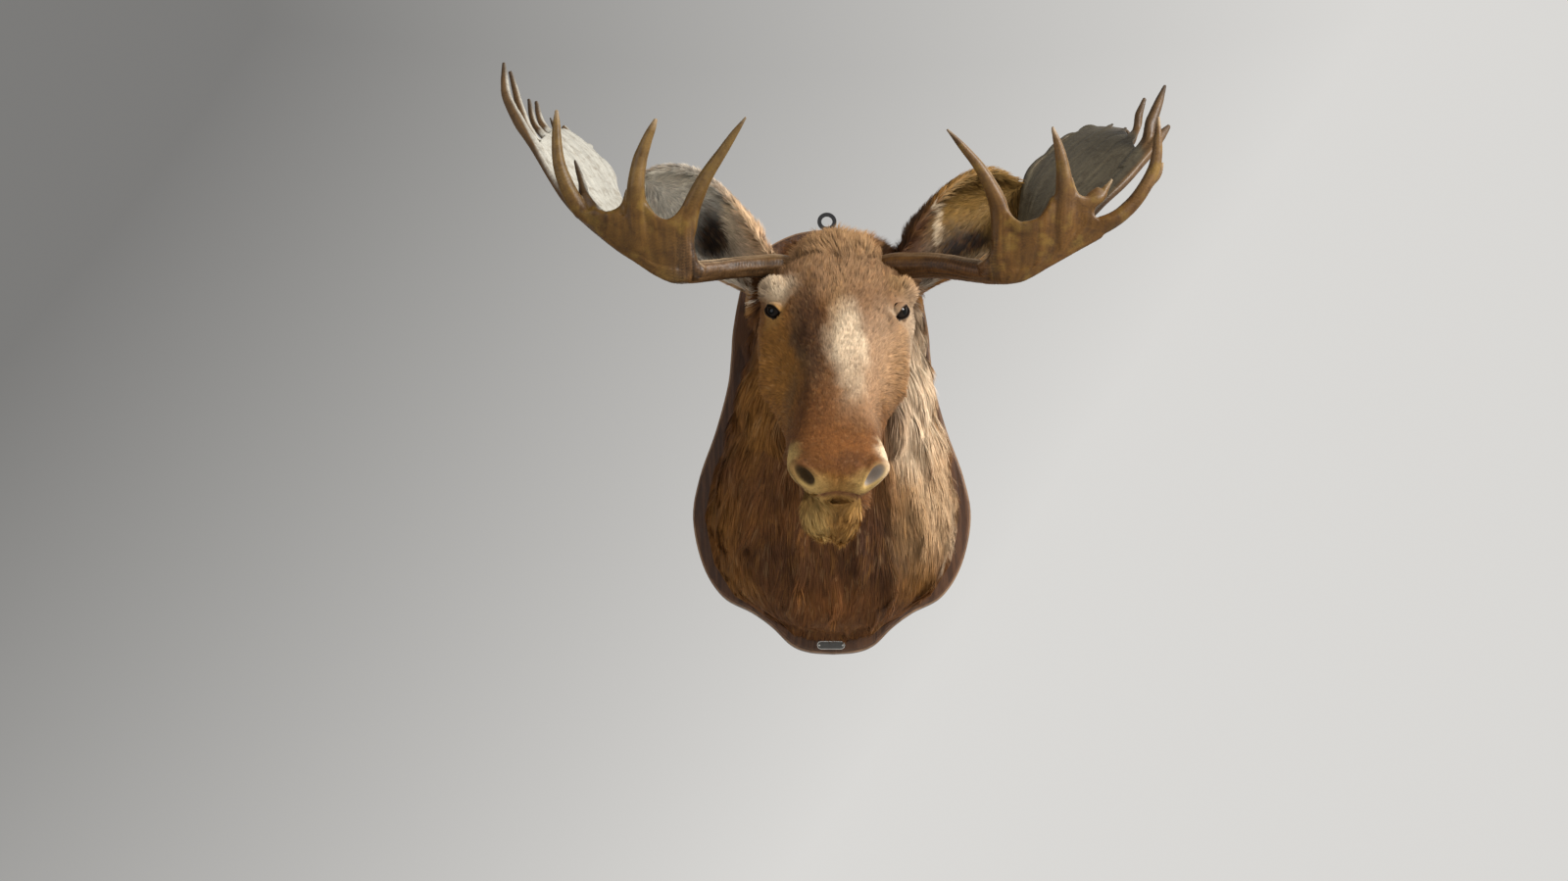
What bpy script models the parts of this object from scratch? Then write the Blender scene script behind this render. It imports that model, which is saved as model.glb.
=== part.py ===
"""A moose head mounted on a wooden shield, with both of its antlers: the construction.

Metres, +Z up, +X to the viewer's right. The wall is the plane y = 0, the head looks along -Y, and the
origin is the middle of the shield's flat back.
"""
import math
import random

import bmesh
import bpy
from mathutils import Matrix, Vector

# ---------------------------------------------------------------- driving dimensions
SIDES = {"left": -1, "right": 1}
GAP = 0.0003                    # left between pieces that touch
SHIELD_THICKNESS = 0.025
SHIELD_EDGE = 0.0105            # the full outline runs this far forward before the moulded edge starts
SHIELD_BEAD = 0.003             # width of the step at the foot of the moulded edge
SHIELD_COVE = 0.004             # width of the slope above that step
EDGE_SLOPE = 0.0003             # how far a step leans back, so that no wall is upright
SKIN_BACK = -SHIELD_THICKNESS - GAP

FACE_TILT = math.radians(55.2)  # slope of the face below the horizontal
POLL = Vector((0.0, -0.330, 0.330))
ALONG = Vector((0.0, -math.cos(FACE_TILT), -math.sin(FACE_TILT)))
DOWN = Vector((0.0, math.sin(FACE_TILT), -math.cos(FACE_TILT)))
FACE_TURN = -0.014              # sideways drift of the face for each metre towards the nose

EYE_RADIUS = 0.019
EYE_ALONG, EYE_DOWN, EYE_SIDE = 0.198, 0.040, 0.1155
EYE_FACING = Vector((0.60, -0.76, 0.12)).normalized()       # of the right eye
EAR_THICKNESS = 0.010
BEAM_CLEARANCE = 0.0045         # room round each beam where it leaves the skin

SKIN_VOXEL, SKIN_TRIANGLES, SKIN_SMOOTHING = 0.0055, 3500, 3
ANTLER_VOXEL, ANTLER_TRIANGLES, ANTLER_SMOOTHING = 0.0034, 1240, 2
BROW_PALM_THICKNESS, MAIN_PALM_THICKNESS = 0.015, 0.011
BURR_RISE = (0.001, 0.003, 0.001)                           # of the collar where a beam leaves the skin

PLATE_CENTRE = Vector((-0.004, -SHIELD_THICKNESS, -0.4615))
PLATE_LENGTH, PLATE_HEIGHT, PLATE_THICKNESS = 0.058, 0.017, 0.0014
PLATE_SHOULDER = 0.009          # length of each rounded end
PLATE_RIM, PLATE_SINK = 0.0011, 0.0004                      # width of the rim, depth of the field in it
PIN_SPACING, PIN_SHANK, PIN_LENGTH = 0.0485, 0.0007, 0.010
PIN_HEAD = ((0.0021, 0.0), (0.0018, -0.0006), (0.0011, -0.0010), (0.0, -0.0011))    # (radius, y) to its top

RING_CENTRE = Vector((-0.006, -0.0018, 0.489))
RING_OUTER, RING_HOLE = 0.0215, 0.0125
STRAP_WIDTH, STRAP_THICKNESS, STRAP_BOTTOM = 0.020, 0.0026, 0.395
STRAP_BACK, STRAP_CORNER = -0.0005, 0.006                   # place of its rear face, size of its cut corners
STRAP_SCREWS = {"upper": 0.443, "lower": 0.411}
SCREW_SHANK, SCREW_HEAD, SCREW_LENGTH, SCREW_POINT = 0.0018, 0.0040, 0.016, 0.003
SCREW_BACK, SCREW_RIM = -0.0007, 0.0003                     # place of the head's face, thickness at its edge

# Half of the shield's outline, from the top round to the bottom: (x, z)
SHIELD_HALF = (
    (0.000, 0.466), (0.077, 0.454), (0.141, 0.420), (0.185, 0.369), (0.202, 0.310), (0.2155, 0.226),
    (0.219, 0.168), (0.226, 0.100), (0.251, 0.000), (0.284, -0.100), (0.2975, -0.190), (0.2755, -0.290),
    (0.232, -0.358), (0.170, -0.392), (0.128, -0.422), (0.088, -0.460), (0.050, -0.475), (0.000, -0.479))

# Stations down the face, from the poll to the nose: (distance along, top, widest, bottom, half width)
FACE = (
    (-0.035, 0.030, 0.090, 0.190, 0.080), (0.000, 0.008, 0.085, 0.215, 0.110),
    (0.040, -0.002, 0.085, 0.240, 0.123), (0.100, -0.004, 0.092, 0.262, 0.131),
    (0.150, -0.002, 0.096, 0.272, 0.140), (0.200, 0.002, 0.100, 0.274, 0.142),
    (0.250, 0.008, 0.104, 0.266, 0.139), (0.300, 0.012, 0.106, 0.248, 0.139),
    (0.360, 0.015, 0.102, 0.214, 0.125), (0.415, 0.015, 0.092, 0.180, 0.111),
    (0.483, 0.014, 0.080, 0.150, 0.099), (0.546, 0.010, 0.070, 0.130, 0.092),
    (0.600, 0.004, 0.060, 0.114, 0.0905), (0.640, 0.002, 0.052, 0.100, 0.0885),
    (0.668, 0.005, 0.048, 0.090, 0.081), (0.688, 0.016, 0.048, 0.080, 0.066),
    (0.699, 0.032, 0.050, 0.068, 0.036))
JAW = (
    (0.260, 0.150, 0.205, 0.292, 0.094), (0.340, 0.140, 0.190, 0.276, 0.088),
    (0.420, 0.100, 0.160, 0.246, 0.080), (0.500, 0.080, 0.140, 0.216, 0.072),
    (0.570, 0.080, 0.128, 0.192, 0.062), (0.625, 0.080, 0.120, 0.172, 0.053),
    (0.658, 0.086, 0.114, 0.154, 0.045), (0.676, 0.096, 0.113, 0.134, 0.029))
TOP_SQUARE, BOTTOM_SQUARE, NECK_SQUARE = 2.8, 2.1, 2.3       # 2 is an oval, and more is squarer
# Lumps on each side of the head: place (across, along, down), radii, and whether they lie along the face
LUMPS = {
    "Brow": ((0.121, 0.152, 0.030), (0.027, 0.030, 0.024), True),
    "Cheek": ((0.112, 0.300, 0.105), (0.028, 0.050, 0.070), True),
    "Nostril wing": ((0.058, 0.655, 0.040), (0.034, 0.036, 0.034), False),
    "Jowl": ((0.070, 0.520, 0.110), (0.030, 0.040, 0.030), False)}
NOSTRIL, NOSTRIL_RADII = (0.057, 0.677, 0.024), (0.012, 0.020, 0.014)
EAR_ROOT, EAR_ROOT_RADII = (0.135, -0.235, 0.225), (0.042, 0.048, 0.055)
# The rim of each eyelid: how far it stands out, its radius against the eye's (level, upright), its thickness
LID_OUT, LID_RADII, LID_THICKNESS = 0.011, (1.02, 0.90), 0.0048
LID_OPENING = (0.75, 0.78)      # the opening between the lids: its place and its radius, against the eye's

# Sections of the neck, from the wall to the head: top (y, z), bottom (y, z), half width, and how far the
# section follows the shield's outline rather than an oval
NECK = (
    (0.020, 0.352, 0.020, -0.446, 0.258, 1.00), (-0.040, 0.354, -0.050, -0.447, 0.260, 1.00),
    (-0.085, 0.358, -0.120, -0.434, 0.256, 0.97), (-0.130, 0.362, -0.190, -0.392, 0.246, 0.88),
    (-0.175, 0.364, -0.242, -0.326, 0.226, 0.72), (-0.215, 0.362, -0.280, -0.244, 0.198, 0.50),
    (-0.250, 0.356, -0.308, -0.160, 0.166, 0.30), (-0.285, 0.348, -0.325, -0.080, 0.146, 0.12),
    (-0.315, 0.336, -0.330, -0.010, 0.134, 0.03), (-0.340, 0.318, -0.340, 0.030, 0.120, 0.00))
# Width of the base against its height, from top to bottom: (fraction down, fraction of the half width)
SHIELD_LIKE = (
    (0.000, 0.00), (0.006, 0.26), (0.025, 0.46), (0.060, 0.570), (0.130, 0.620), (0.233, 0.655),
    (0.343, 0.715), (0.452, 0.820), (0.560, 0.925), (0.640, 0.980), (0.720, 1.00), (0.823, 0.915),
    (0.886, 0.775), (0.942, 0.550), (0.978, 0.320), (0.994, 0.160), (1.000, 0.00))
NECK_SHIFT = 0.018              # the upper neck stands this far to the right of the shield's middle
# Rows of hair locks round the neck, from the head to the wall: (section, sections long, radius, count)
NECK_LOCKS = (
    (7.4, 1.5, 0.013, 10), (6.2, 1.6, 0.015, 10), (5.0, 1.6, 0.017, 10), (3.9, 1.5, 0.018, 10),
    (2.8, 1.3, 0.018, 10), (1.9, 1.1, 0.017, 8))
# Each lock from root to tip: (share of its length, share of its radius, how many radii it lifts)
LOCK_SHAPE = ((0.0, 0.35, -0.50), (0.3, 0.90, -0.45), (0.65, 1.0, -0.20), (1.0, 0.16, 0.45))
LOCK_ARC = (44, 302)            # degrees from the neck's top to a row's first lock, and on to its last
POLL_TUFTS, POLL_TUFT_SPACING, POLL_TUFT_RISE = 9, 0.0215, 0.022
BEARD_LOCKS, BEARD_HALF_WIDTH = 6, 0.040

# The ears: middle line from root to tip (x, y, z), half width there, and how far the rims curl round
EARS = {
    "left": ((-0.105, -0.255, 0.235, 0.034, 125), (-0.160, -0.262, 0.290, 0.052, 120),
             (-0.222, -0.262, 0.345, 0.072, 108), (-0.292, -0.250, 0.405, 0.084, 96),
             (-0.350, -0.230, 0.456, 0.068, 90), (-0.388, -0.212, 0.492, 0.036, 82),
             (-0.407, -0.204, 0.510, 0.010, 75)),
    "right": ((0.105, -0.255, 0.235, 0.034, 125), (0.160, -0.262, 0.292, 0.052, 120),
              (0.218, -0.262, 0.345, 0.072, 108), (0.286, -0.250, 0.400, 0.084, 96),
              (0.346, -0.230, 0.446, 0.068, 90), (0.384, -0.212, 0.476, 0.036, 82),
              (0.402, -0.204, 0.490, 0.010, 75))}
EAR_OPENING = {"left": Vector((-0.45, -0.88, -0.10)), "right": Vector((0.45, -0.88, -0.10))}

# The antlers. Strands are round and tapered, as (x, y, z, radius) from root to tip, and sheets are rows of
# (x, y, z).
BEAMS = {
    "left": (
        (-0.088, -0.315, 0.270, 0.0215), (-0.118, -0.325, 0.270, 0.0240), (-0.152, -0.335, 0.265, 0.0230),
        (-0.190, -0.350, 0.257, 0.0222), (-0.229, -0.370, 0.246, 0.0213), (-0.264, -0.395, 0.233, 0.0218),
        (-0.293, -0.417, 0.224, 0.0228), (-0.318, -0.436, 0.216, 0.0200), (-0.350, -0.442, 0.222, 0.0165),
        (-0.375, -0.445, 0.238, 0.0150), (-0.440, -0.450, 0.284, 0.0130), (-0.500, -0.455, 0.334, 0.0130)),
    "right": (
        (0.092, -0.315, 0.270, 0.0230), (0.122, -0.325, 0.270, 0.0260), (0.153, -0.335, 0.267, 0.0255),
        (0.191, -0.350, 0.262, 0.0250), (0.231, -0.370, 0.251, 0.0242), (0.272, -0.395, 0.235, 0.0228),
        (0.307, -0.417, 0.222, 0.0220), (0.335, -0.434, 0.214, 0.0195), (0.362, -0.441, 0.216, 0.0165),
        (0.408, -0.446, 0.238, 0.0150), (0.461, -0.450, 0.268, 0.0140), (0.508, -0.452, 0.294, 0.0130))}
BROW_PALMS = {
    "left": (((-0.285, -0.430, 0.222), (-0.318, -0.440, 0.215), (-0.375, -0.445, 0.240),
              (-0.440, -0.450, 0.286), (-0.503, -0.452, 0.332)),
             ((-0.282, -0.455, 0.266), (-0.321, -0.462, 0.256), (-0.377, -0.466, 0.268),
              (-0.432, -0.466, 0.292), (-0.493, -0.466, 0.322)),
             ((-0.280, -0.470, 0.316), (-0.326, -0.476, 0.300), (-0.384, -0.482, 0.318),
              (-0.433, -0.480, 0.312), (-0.490, -0.475, 0.340))),
    "right": (((0.312, -0.432, 0.216), (0.355, -0.440, 0.214), (0.408, -0.446, 0.240),
               (0.461, -0.450, 0.269), (0.508, -0.452, 0.293)),
              ((0.305, -0.458, 0.268), (0.360, -0.464, 0.258), (0.420, -0.470, 0.280),
               (0.468, -0.466, 0.302), (0.505, -0.462, 0.302)),
              ((0.308, -0.475, 0.316), (0.358, -0.480, 0.296), (0.425, -0.488, 0.330),
               (0.474, -0.480, 0.340), (0.500, -0.470, 0.312)))}
BROW_TINES = {
    "left": (
        ((-0.301, -0.452, 0.236, 0.0100), (-0.292, -0.465, 0.288, 0.0200), (-0.281, -0.475, 0.334, 0.0182),
         (-0.263, -0.490, 0.372, 0.0152), (-0.247, -0.500, 0.398, 0.0132), (-0.221, -0.515, 0.432, 0.0108),
         (-0.198, -0.530, 0.462, 0.0080), (-0.174, -0.545, 0.491, 0.0030)),
        ((-0.377, -0.462, 0.256, 0.0090), (-0.383, -0.474, 0.298, 0.0190), (-0.386, -0.485, 0.330, 0.0200),
         (-0.383, -0.505, 0.374, 0.0155), (-0.378, -0.525, 0.416, 0.0142), (-0.367, -0.535, 0.435, 0.0118),
         (-0.355, -0.545, 0.457, 0.0084), (-0.346, -0.555, 0.480, 0.0030)),
        ((-0.430, -0.456, 0.290, 0.0110), (-0.463, -0.457, 0.311, 0.0180), (-0.493, -0.460, 0.336, 0.0188),
         (-0.514, -0.475, 0.362, 0.0160), (-0.528, -0.490, 0.393, 0.0140), (-0.535, -0.500, 0.418, 0.0122),
         (-0.538, -0.510, 0.446, 0.0102), (-0.539, -0.520, 0.482, 0.0076), (-0.538, -0.530, 0.512, 0.0030))),
    "right": (
        ((0.322, -0.452, 0.236, 0.0100), (0.316, -0.466, 0.290, 0.0190), (0.309, -0.480, 0.338, 0.0176),
         (0.292, -0.495, 0.373, 0.0140), (0.269, -0.510, 0.406, 0.0110), (0.236, -0.530, 0.438, 0.0080),
         (0.206, -0.545, 0.466, 0.0030)),
        ((0.430, -0.460, 0.256, 0.0090), (0.434, -0.474, 0.302, 0.0210), (0.436, -0.490, 0.344, 0.0210),
         (0.433, -0.505, 0.369, 0.0168), (0.428, -0.520, 0.402, 0.0127), (0.419, -0.535, 0.435, 0.0092),
         (0.406, -0.550, 0.468, 0.0030)),
        ((0.470, -0.472, 0.318, 0.0160), (0.486, -0.475, 0.338, 0.0130), (0.509, -0.480, 0.360, 0.0092),
         (0.530, -0.485, 0.389, 0.0030)),
        ((0.435, -0.455, 0.262, 0.0110), (0.468, -0.458, 0.283, 0.0185), (0.502, -0.460, 0.300, 0.0190),
         (0.540, -0.465, 0.319, 0.0161), (0.571, -0.470, 0.346, 0.0147), (0.592, -0.480, 0.374, 0.0136),
         (0.609, -0.490, 0.407, 0.0124), (0.614, -0.500, 0.435, 0.0106), (0.615, -0.510, 0.465, 0.0080),
         (0.616, -0.520, 0.502, 0.0030)),
        ((0.604, -0.484, 0.372, 0.0085), (0.618, -0.478, 0.394, 0.0068), (0.635, -0.462, 0.431, 0.0030)))}
MAIN_PALMS = {
    "left": (((-0.331, -0.425, 0.218), (-0.338, -0.380, 0.247), (-0.344, -0.335, 0.280)),
             ((-0.407, -0.430, 0.263), (-0.408, -0.355, 0.318), (-0.412, -0.270, 0.372)),
             ((-0.476, -0.425, 0.322), (-0.464, -0.325, 0.402), (-0.447, -0.215, 0.462)),
             ((-0.538, -0.410, 0.391), (-0.514, -0.295, 0.490), (-0.480, -0.158, 0.560)),
             ((-0.580, -0.390, 0.468), (-0.560, -0.275, 0.560), (-0.534, -0.128, 0.624)),
             ((-0.606, -0.375, 0.513), (-0.592, -0.270, 0.584), (-0.586, -0.130, 0.660))),
    "right": (((0.364, -0.425, 0.218), (0.368, -0.380, 0.248), (0.370, -0.330, 0.282)),
              ((0.422, -0.428, 0.262), (0.405, -0.355, 0.324), (0.384, -0.265, 0.382)),
              ((0.475, -0.412, 0.322), (0.440, -0.325, 0.405), (0.394, -0.215, 0.472)),
              ((0.518, -0.400, 0.372), (0.482, -0.290, 0.477), (0.414, -0.168, 0.552)),
              ((0.562, -0.385, 0.420), (0.532, -0.262, 0.534), (0.468, -0.122, 0.634)),
              ((0.603, -0.370, 0.468), (0.597, -0.245, 0.604), (0.572, -0.110, 0.688)))}
MAIN_TINES = {
    "left": (
        ((-0.345, -0.428, 0.226, 0.0160), (-0.407, -0.430, 0.262, 0.0190), (-0.466, -0.425, 0.314, 0.0200),
         (-0.517, -0.415, 0.366, 0.0190), (-0.558, -0.400, 0.424, 0.0165), (-0.590, -0.385, 0.485, 0.0143),
         (-0.613, -0.375, 0.523, 0.0122), (-0.636, -0.365, 0.558, 0.0103), (-0.657, -0.355, 0.597, 0.0090),
         (-0.672, -0.345, 0.632, 0.0080), (-0.679, -0.335, 0.670, 0.0064), (-0.684, -0.325, 0.714, 0.0030)),
        ((-0.612, -0.345, 0.528, 0.0110), (-0.632, -0.330, 0.572, 0.0092), (-0.650, -0.315, 0.622, 0.0071),
         (-0.663, -0.305, 0.667, 0.0054), (-0.676, -0.295, 0.709, 0.0030)),
        ((-0.590, -0.300, 0.545, 0.0110), (-0.616, -0.290, 0.583, 0.0075), (-0.630, -0.280, 0.619, 0.0060),
         (-0.639, -0.270, 0.659, 0.0030)),
        ((-0.582, -0.245, 0.575, 0.0110), (-0.608, -0.240, 0.606, 0.0072), (-0.623, -0.230, 0.642, 0.0058),
         (-0.632, -0.220, 0.677, 0.0030)),
        ((-0.570, -0.190, 0.600, 0.0100), (-0.594, -0.188, 0.631, 0.0064), (-0.607, -0.180, 0.661, 0.0030)),
        ((-0.465, -0.418, 0.330, 0.0110), (-0.480, -0.420, 0.360, 0.0088), (-0.496, -0.420, 0.396, 0.0074),
         (-0.510, -0.420, 0.430, 0.0054), (-0.517, -0.420, 0.455, 0.0030))),
    "right": (
        ((0.372, -0.428, 0.222, 0.0160), (0.416, -0.424, 0.264, 0.0190), (0.468, -0.412, 0.322, 0.0190),
         (0.518, -0.400, 0.374, 0.0165), (0.568, -0.385, 0.426, 0.0145), (0.607, -0.370, 0.470, 0.0126),
         (0.642, -0.355, 0.513, 0.0105), (0.664, -0.345, 0.541, 0.0080), (0.686, -0.335, 0.568, 0.0030)),
        ((0.585, -0.362, 0.460, 0.0140), (0.620, -0.350, 0.515, 0.0119), (0.645, -0.340, 0.567, 0.0102),
         (0.668, -0.330, 0.620, 0.0078), (0.687, -0.320, 0.666, 0.0030)),
        ((0.580, -0.300, 0.512, 0.0125), (0.610, -0.292, 0.546, 0.0105), (0.628, -0.284, 0.590, 0.0082),
         (0.642, -0.276, 0.625, 0.0060), (0.656, -0.270, 0.660, 0.0030)),
        ((0.570, -0.240, 0.560, 0.0110), (0.596, -0.238, 0.580, 0.0085), (0.615, -0.234, 0.604, 0.0058),
         (0.626, -0.230, 0.632, 0.0030)),
        ((0.545, -0.200, 0.590, 0.0100), (0.573, -0.198, 0.612, 0.0078), (0.598, -0.190, 0.655, 0.0030)))}
# Where each antler is parted at its two main forks: a point on the joint and the direction across it
BEAM_JOINTS = {"left": (Vector((-0.262, -0.393, 0.234)), Vector((-0.85, -0.45, -0.25))),
               "right": (Vector((0.272, -0.395, 0.235)), Vector((0.85, -0.42, -0.30)))}
PALM_JOINTS = {"left": (Vector((-0.300, -0.4330, 0.250)), Vector((-0.06, 1.0, 0.06))),
               "right": (Vector((0.300, -0.4330, 0.250)), Vector((0.06, 1.0, 0.06)))}
BEAM_SAW, PALM_SAW = 0.055, 0.600                           # half the width of each saw cut

SKIN_COLOUR, EYE_COLOUR = (0.25, 0.115, 0.050), (0.015, 0.010, 0.008)
ANTLER_COLOURS = {
    "beam": (0.20, 0.125, 0.075), "brow_palm": (0.26, 0.165, 0.085), "main_palm": (0.33, 0.26, 0.18)}
SHIELD_COLOUR, HANGER_COLOUR = (0.075, 0.028, 0.016), (0.012, 0.012, 0.013)
PLATE_COLOUR, PIN_COLOUR, SCREW_COLOUR = (0.45, 0.45, 0.44), (0.70, 0.69, 0.66), (0.30, 0.29, 0.27)


# ---------------------------------------------------------------- curves
def at(points, position):
    """Return the smooth curve through the points at a position, which counts points from the first."""
    last = len(points) - 1
    index = min(int(position), last - 1)
    t = position - index
    b, c = Vector(points[index]), Vector(points[index + 1])
    a = Vector(points[index - 1]) if index else 2 * b - c
    d = Vector(points[index + 2]) if index + 2 <= last else 2 * c - b
    return 0.5 * (2 * b + (c - a) * t + (2 * a - 5 * b + 4 * c - d) * t ** 2 + (3 * (b - c) + d - a) * t ** 3)


def smooth_line(points, steps):
    """Return the points of the smooth curve, with the given number of steps between each two."""
    return [at(points, k / steps) for k in range((len(points) - 1) * steps + 1)]


def lookup(table, x):
    """Read a table of (x, y) rows that rise in x, with straight lines between them."""
    for (x0, y0), (x1, y1) in zip(table, table[1:]):
        if x <= x1:
            return y0 + (y1 - y0) * (x - x0) / (x1 - x0)
    return table[-1][1]


# ---------------------------------------------------------------- scene and material helpers
def clear_scene():
    for old in list(bpy.data.objects):
        bpy.data.objects.remove(old, do_unlink=True)


def new_collection(name):
    collection = bpy.data.collections.new(name)
    bpy.context.scene.collection.children.link(collection)
    return collection


def paint(obj, colour, roughness, metallic=0.0):
    """Give the object its own plain material."""
    material = bpy.data.materials.new(obj.name)
    material.use_nodes = True
    shader = material.node_tree.nodes["Principled BSDF"]
    shader.inputs["Base Color"].default_value = (*colour, 1.0)
    shader.inputs["Roughness"].default_value = roughness
    shader.inputs["Metallic"].default_value = metallic
    obj.data.materials.clear()
    obj.data.materials.append(material)


def mesh_object(name, bm, collection):
    """Close a bmesh into a named object of the collection."""
    bmesh.ops.recalc_face_normals(bm, faces=bm.faces)
    mesh = bpy.data.meshes.new(name)
    bm.to_mesh(mesh)
    bm.free()
    obj = bpy.data.objects.new(name, mesh)
    collection.objects.link(obj)
    return obj


def baked(obj):
    """Put the object's evaluated mesh in its place, and drop its modifiers."""
    bpy.context.view_layer.update()
    evaluated = obj.evaluated_get(bpy.context.evaluated_depsgraph_get())
    mesh = bpy.data.meshes.new_from_object(evaluated)
    name, collection = obj.name, obj.users_collection[0]
    bpy.data.objects.remove(obj)
    mesh.name = name
    fresh = bpy.data.objects.new(name, mesh)
    collection.objects.link(fresh)
    return fresh


def weld(obj):
    """Join the loose caps of a tube to its wall."""
    bm = bmesh.new()
    bm.from_mesh(obj.data)
    bmesh.ops.remove_doubles(bm, verts=bm.verts, dist=1e-6)
    bmesh.ops.recalc_face_normals(bm, faces=bm.faces)
    bm.to_mesh(obj.data)
    bm.free()
    return obj


def cut(obj, cutter):
    """Cut a cutter out of an object with a live Boolean."""
    modifier = obj.modifiers.new("Cut " + cutter.name, "BOOLEAN")
    modifier.object = cutter
    modifier.solver = "EXACT"


def as_cutter(obj):
    obj.hide_render = True
    obj.display_type = "WIRE"
    return obj


# ---------------------------------------------------------------- shape helpers
def plate(bm, points, forward):
    """Make a flat plate from the points of its rear outline, and return its front face."""
    rear = bm.faces.new([bm.verts.new(point) for point in points])
    grown = bmesh.ops.extrude_face_region(bm, geom=[rear], use_keep_orig=True)["geom"]
    front = next(item for item in grown if isinstance(item, bmesh.types.BMFace))
    bmesh.ops.translate(bm, verts=front.verts, vec=(0.0, -forward, 0.0))
    bmesh.ops.recalc_face_normals(bm, faces=bm.faces)
    return front


def turned(name, foot, profile, collection, sides=8):
    """Turn a profile of (radius, y) about the Y axis through the foot, from its rear end to its front one."""
    bm = bmesh.new()
    verts = [bm.verts.new((radius, y, 0.0)) for radius, y in profile]
    for pair in zip(verts, verts[1:]):
        bm.edges.new(pair)
    obj = mesh_object(name, bm, collection)
    obj.location = foot
    screw = obj.modifiers.new("Turn", "SCREW")
    screw.axis = "Y"
    screw.steps = screw.render_steps = sides
    screw.use_merge_vertices = True
    screw.merge_threshold = 1e-6
    return obj


def ring_loft(name, rings, collection):
    """Skin a row of rings of equal count, and close its ends flat."""
    bm = bmesh.new()
    loops = []
    for ring in rings:
        verts = [bm.verts.new(point) for point in ring]
        loops.append([bm.edges.new(pair) for pair in zip(verts, verts[1:] + verts[:1])])
    for first, second in zip(loops, loops[1:]):
        bmesh.ops.bridge_loops(bm, edges=first + second)
    for end in (loops[0], loops[-1]):
        bmesh.ops.contextual_create(bm, geom=end)
    return mesh_object(name, bm, collection)


def tubes(name, strands, collection, steps=3):
    """Make closed, tapered round tubes along strands of (x, y, z, radius)."""
    curve = bpy.data.curves.new(name, "CURVE")
    curve.dimensions = "3D"
    curve.bevel_depth = 1.0
    curve.bevel_resolution = 2
    curve.use_fill_caps = True
    for strand in strands:
        line = smooth_line(strand, steps)
        spline = curve.splines.new("POLY")
        spline.points.add(len(line) - 1)
        for point, (x, y, z, radius) in zip(spline.points, line):
            point.co = (x, y, z, 1.0)
            point.radius = radius
    obj = bpy.data.objects.new(name, curve)
    collection.objects.link(obj)
    return obj


def sheet(name, rows, thickness, collection, fine=2):
    """Make a curved plate of even thickness from a coarse net of points."""
    across, down = len(rows[0]), len(rows)
    bm = bmesh.new()
    grid = bmesh.ops.create_grid(bm, x_segments=across - 1, y_segments=down - 1, size=1.0)["verts"]
    grid.sort(key=lambda vert: (round(vert.co.y, 3), round(vert.co.x, 3)))
    for vert, point in zip(grid, (point for row in rows for point in row)):
        vert.co = point
    obj = mesh_object(name, bm, collection)
    rounding = obj.modifiers.new("Round", "SUBSURF")
    rounding.levels = rounding.render_levels = fine
    shell = obj.modifiers.new("Thickness", "SOLIDIFY")
    shell.thickness = thickness
    shell.offset = 0.0
    return obj


def ball(name, centre, radii, collection, turn=0.0):
    """Make an ellipsoid, turned about X by an angle in radians."""
    bm = bmesh.new()
    place = Matrix.Translation(centre) @ Matrix.Rotation(turn, 4, "X") @ Matrix.Diagonal((*radii, 1.0))
    bmesh.ops.create_uvsphere(bm, u_segments=14, v_segments=8, radius=1.0, matrix=place)
    return mesh_object(name, bm, collection)


def drill(name, centre, radius, depth, collection, sides):
    """Make a cylinder along Y for a hole."""
    bm = bmesh.new()
    place = Matrix.Translation(centre) @ Matrix.Rotation(math.radians(90), 4, "X")
    bmesh.ops.create_cone(
        bm, cap_ends=True, segments=sides, radius1=radius, radius2=radius, depth=depth, matrix=place)
    return mesh_object(name, bm, collection)


def box(name, corner, opposite, collection):
    """Make a box between two opposite corners."""
    corner, opposite = Vector(corner), Vector(opposite)
    place = Matrix.Translation((corner + opposite) / 2) @ Matrix.Diagonal((*(opposite - corner), 1.0))
    bm = bmesh.new()
    bmesh.ops.create_cube(bm, size=1.0, matrix=place)
    return mesh_object(name, bm, collection)


def fused(name, pieces, voxel, smoothing, triangles, collection):
    """Grow overlapping pieces into one skin, smooth it, and keep the given number of triangles."""
    bpy.context.view_layer.update()
    graph = bpy.context.evaluated_depsgraph_get()
    bm = bmesh.new()
    for piece in pieces:
        mesh = bpy.data.meshes.new_from_object(piece.evaluated_get(graph))
        bm.from_mesh(mesh)
        bpy.data.meshes.remove(mesh)
        bpy.data.objects.remove(piece)
    bmesh.ops.remove_doubles(bm, verts=bm.verts, dist=1e-6)
    obj = mesh_object(name, bm, collection)
    skin = obj.modifiers.new("Skin", "REMESH")
    skin.mode = "VOXEL"
    skin.voxel_size = voxel
    soft = obj.modifiers.new("Soften", "SMOOTH")
    soft.factor = 0.5
    soft.iterations = smoothing
    obj = baked(obj)
    fewer = obj.modifiers.new("Fewer faces", "DECIMATE")
    fewer.ratio = triangles / (2 * len(obj.data.polygons))
    fewer.use_collapse_triangulate = True
    return baked(obj)


# ---------------------------------------------------------------- head and neck
def face_point(x, along, down):
    """Return the place of a point given across, along and into the face."""
    return POLL + ALONG * along + DOWN * down + Vector((x + FACE_TURN * along, 0.0, 0.0))


def squared(angle, square):
    """Return the (side, up) unit point of a rounded square at an angle from straight up."""
    side, up = math.sin(angle), math.cos(angle)
    return (math.copysign(abs(side) ** (2 / square), side), math.copysign(abs(up) ** (2 / square), up))


def face_ring(station, count=28):
    """Return one section across the face or the jaw."""
    along, top, widest, bottom, half = station
    ring = []
    for k in range(count):
        angle = 2 * math.pi * k / count
        upper = math.cos(angle) >= 0
        side, up = squared(angle, TOP_SQUARE if upper else BOTTOM_SQUARE)
        reach = widest - top if upper else bottom - widest
        ring.append(face_point(half * side, along, widest - up * reach))
    return ring


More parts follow.
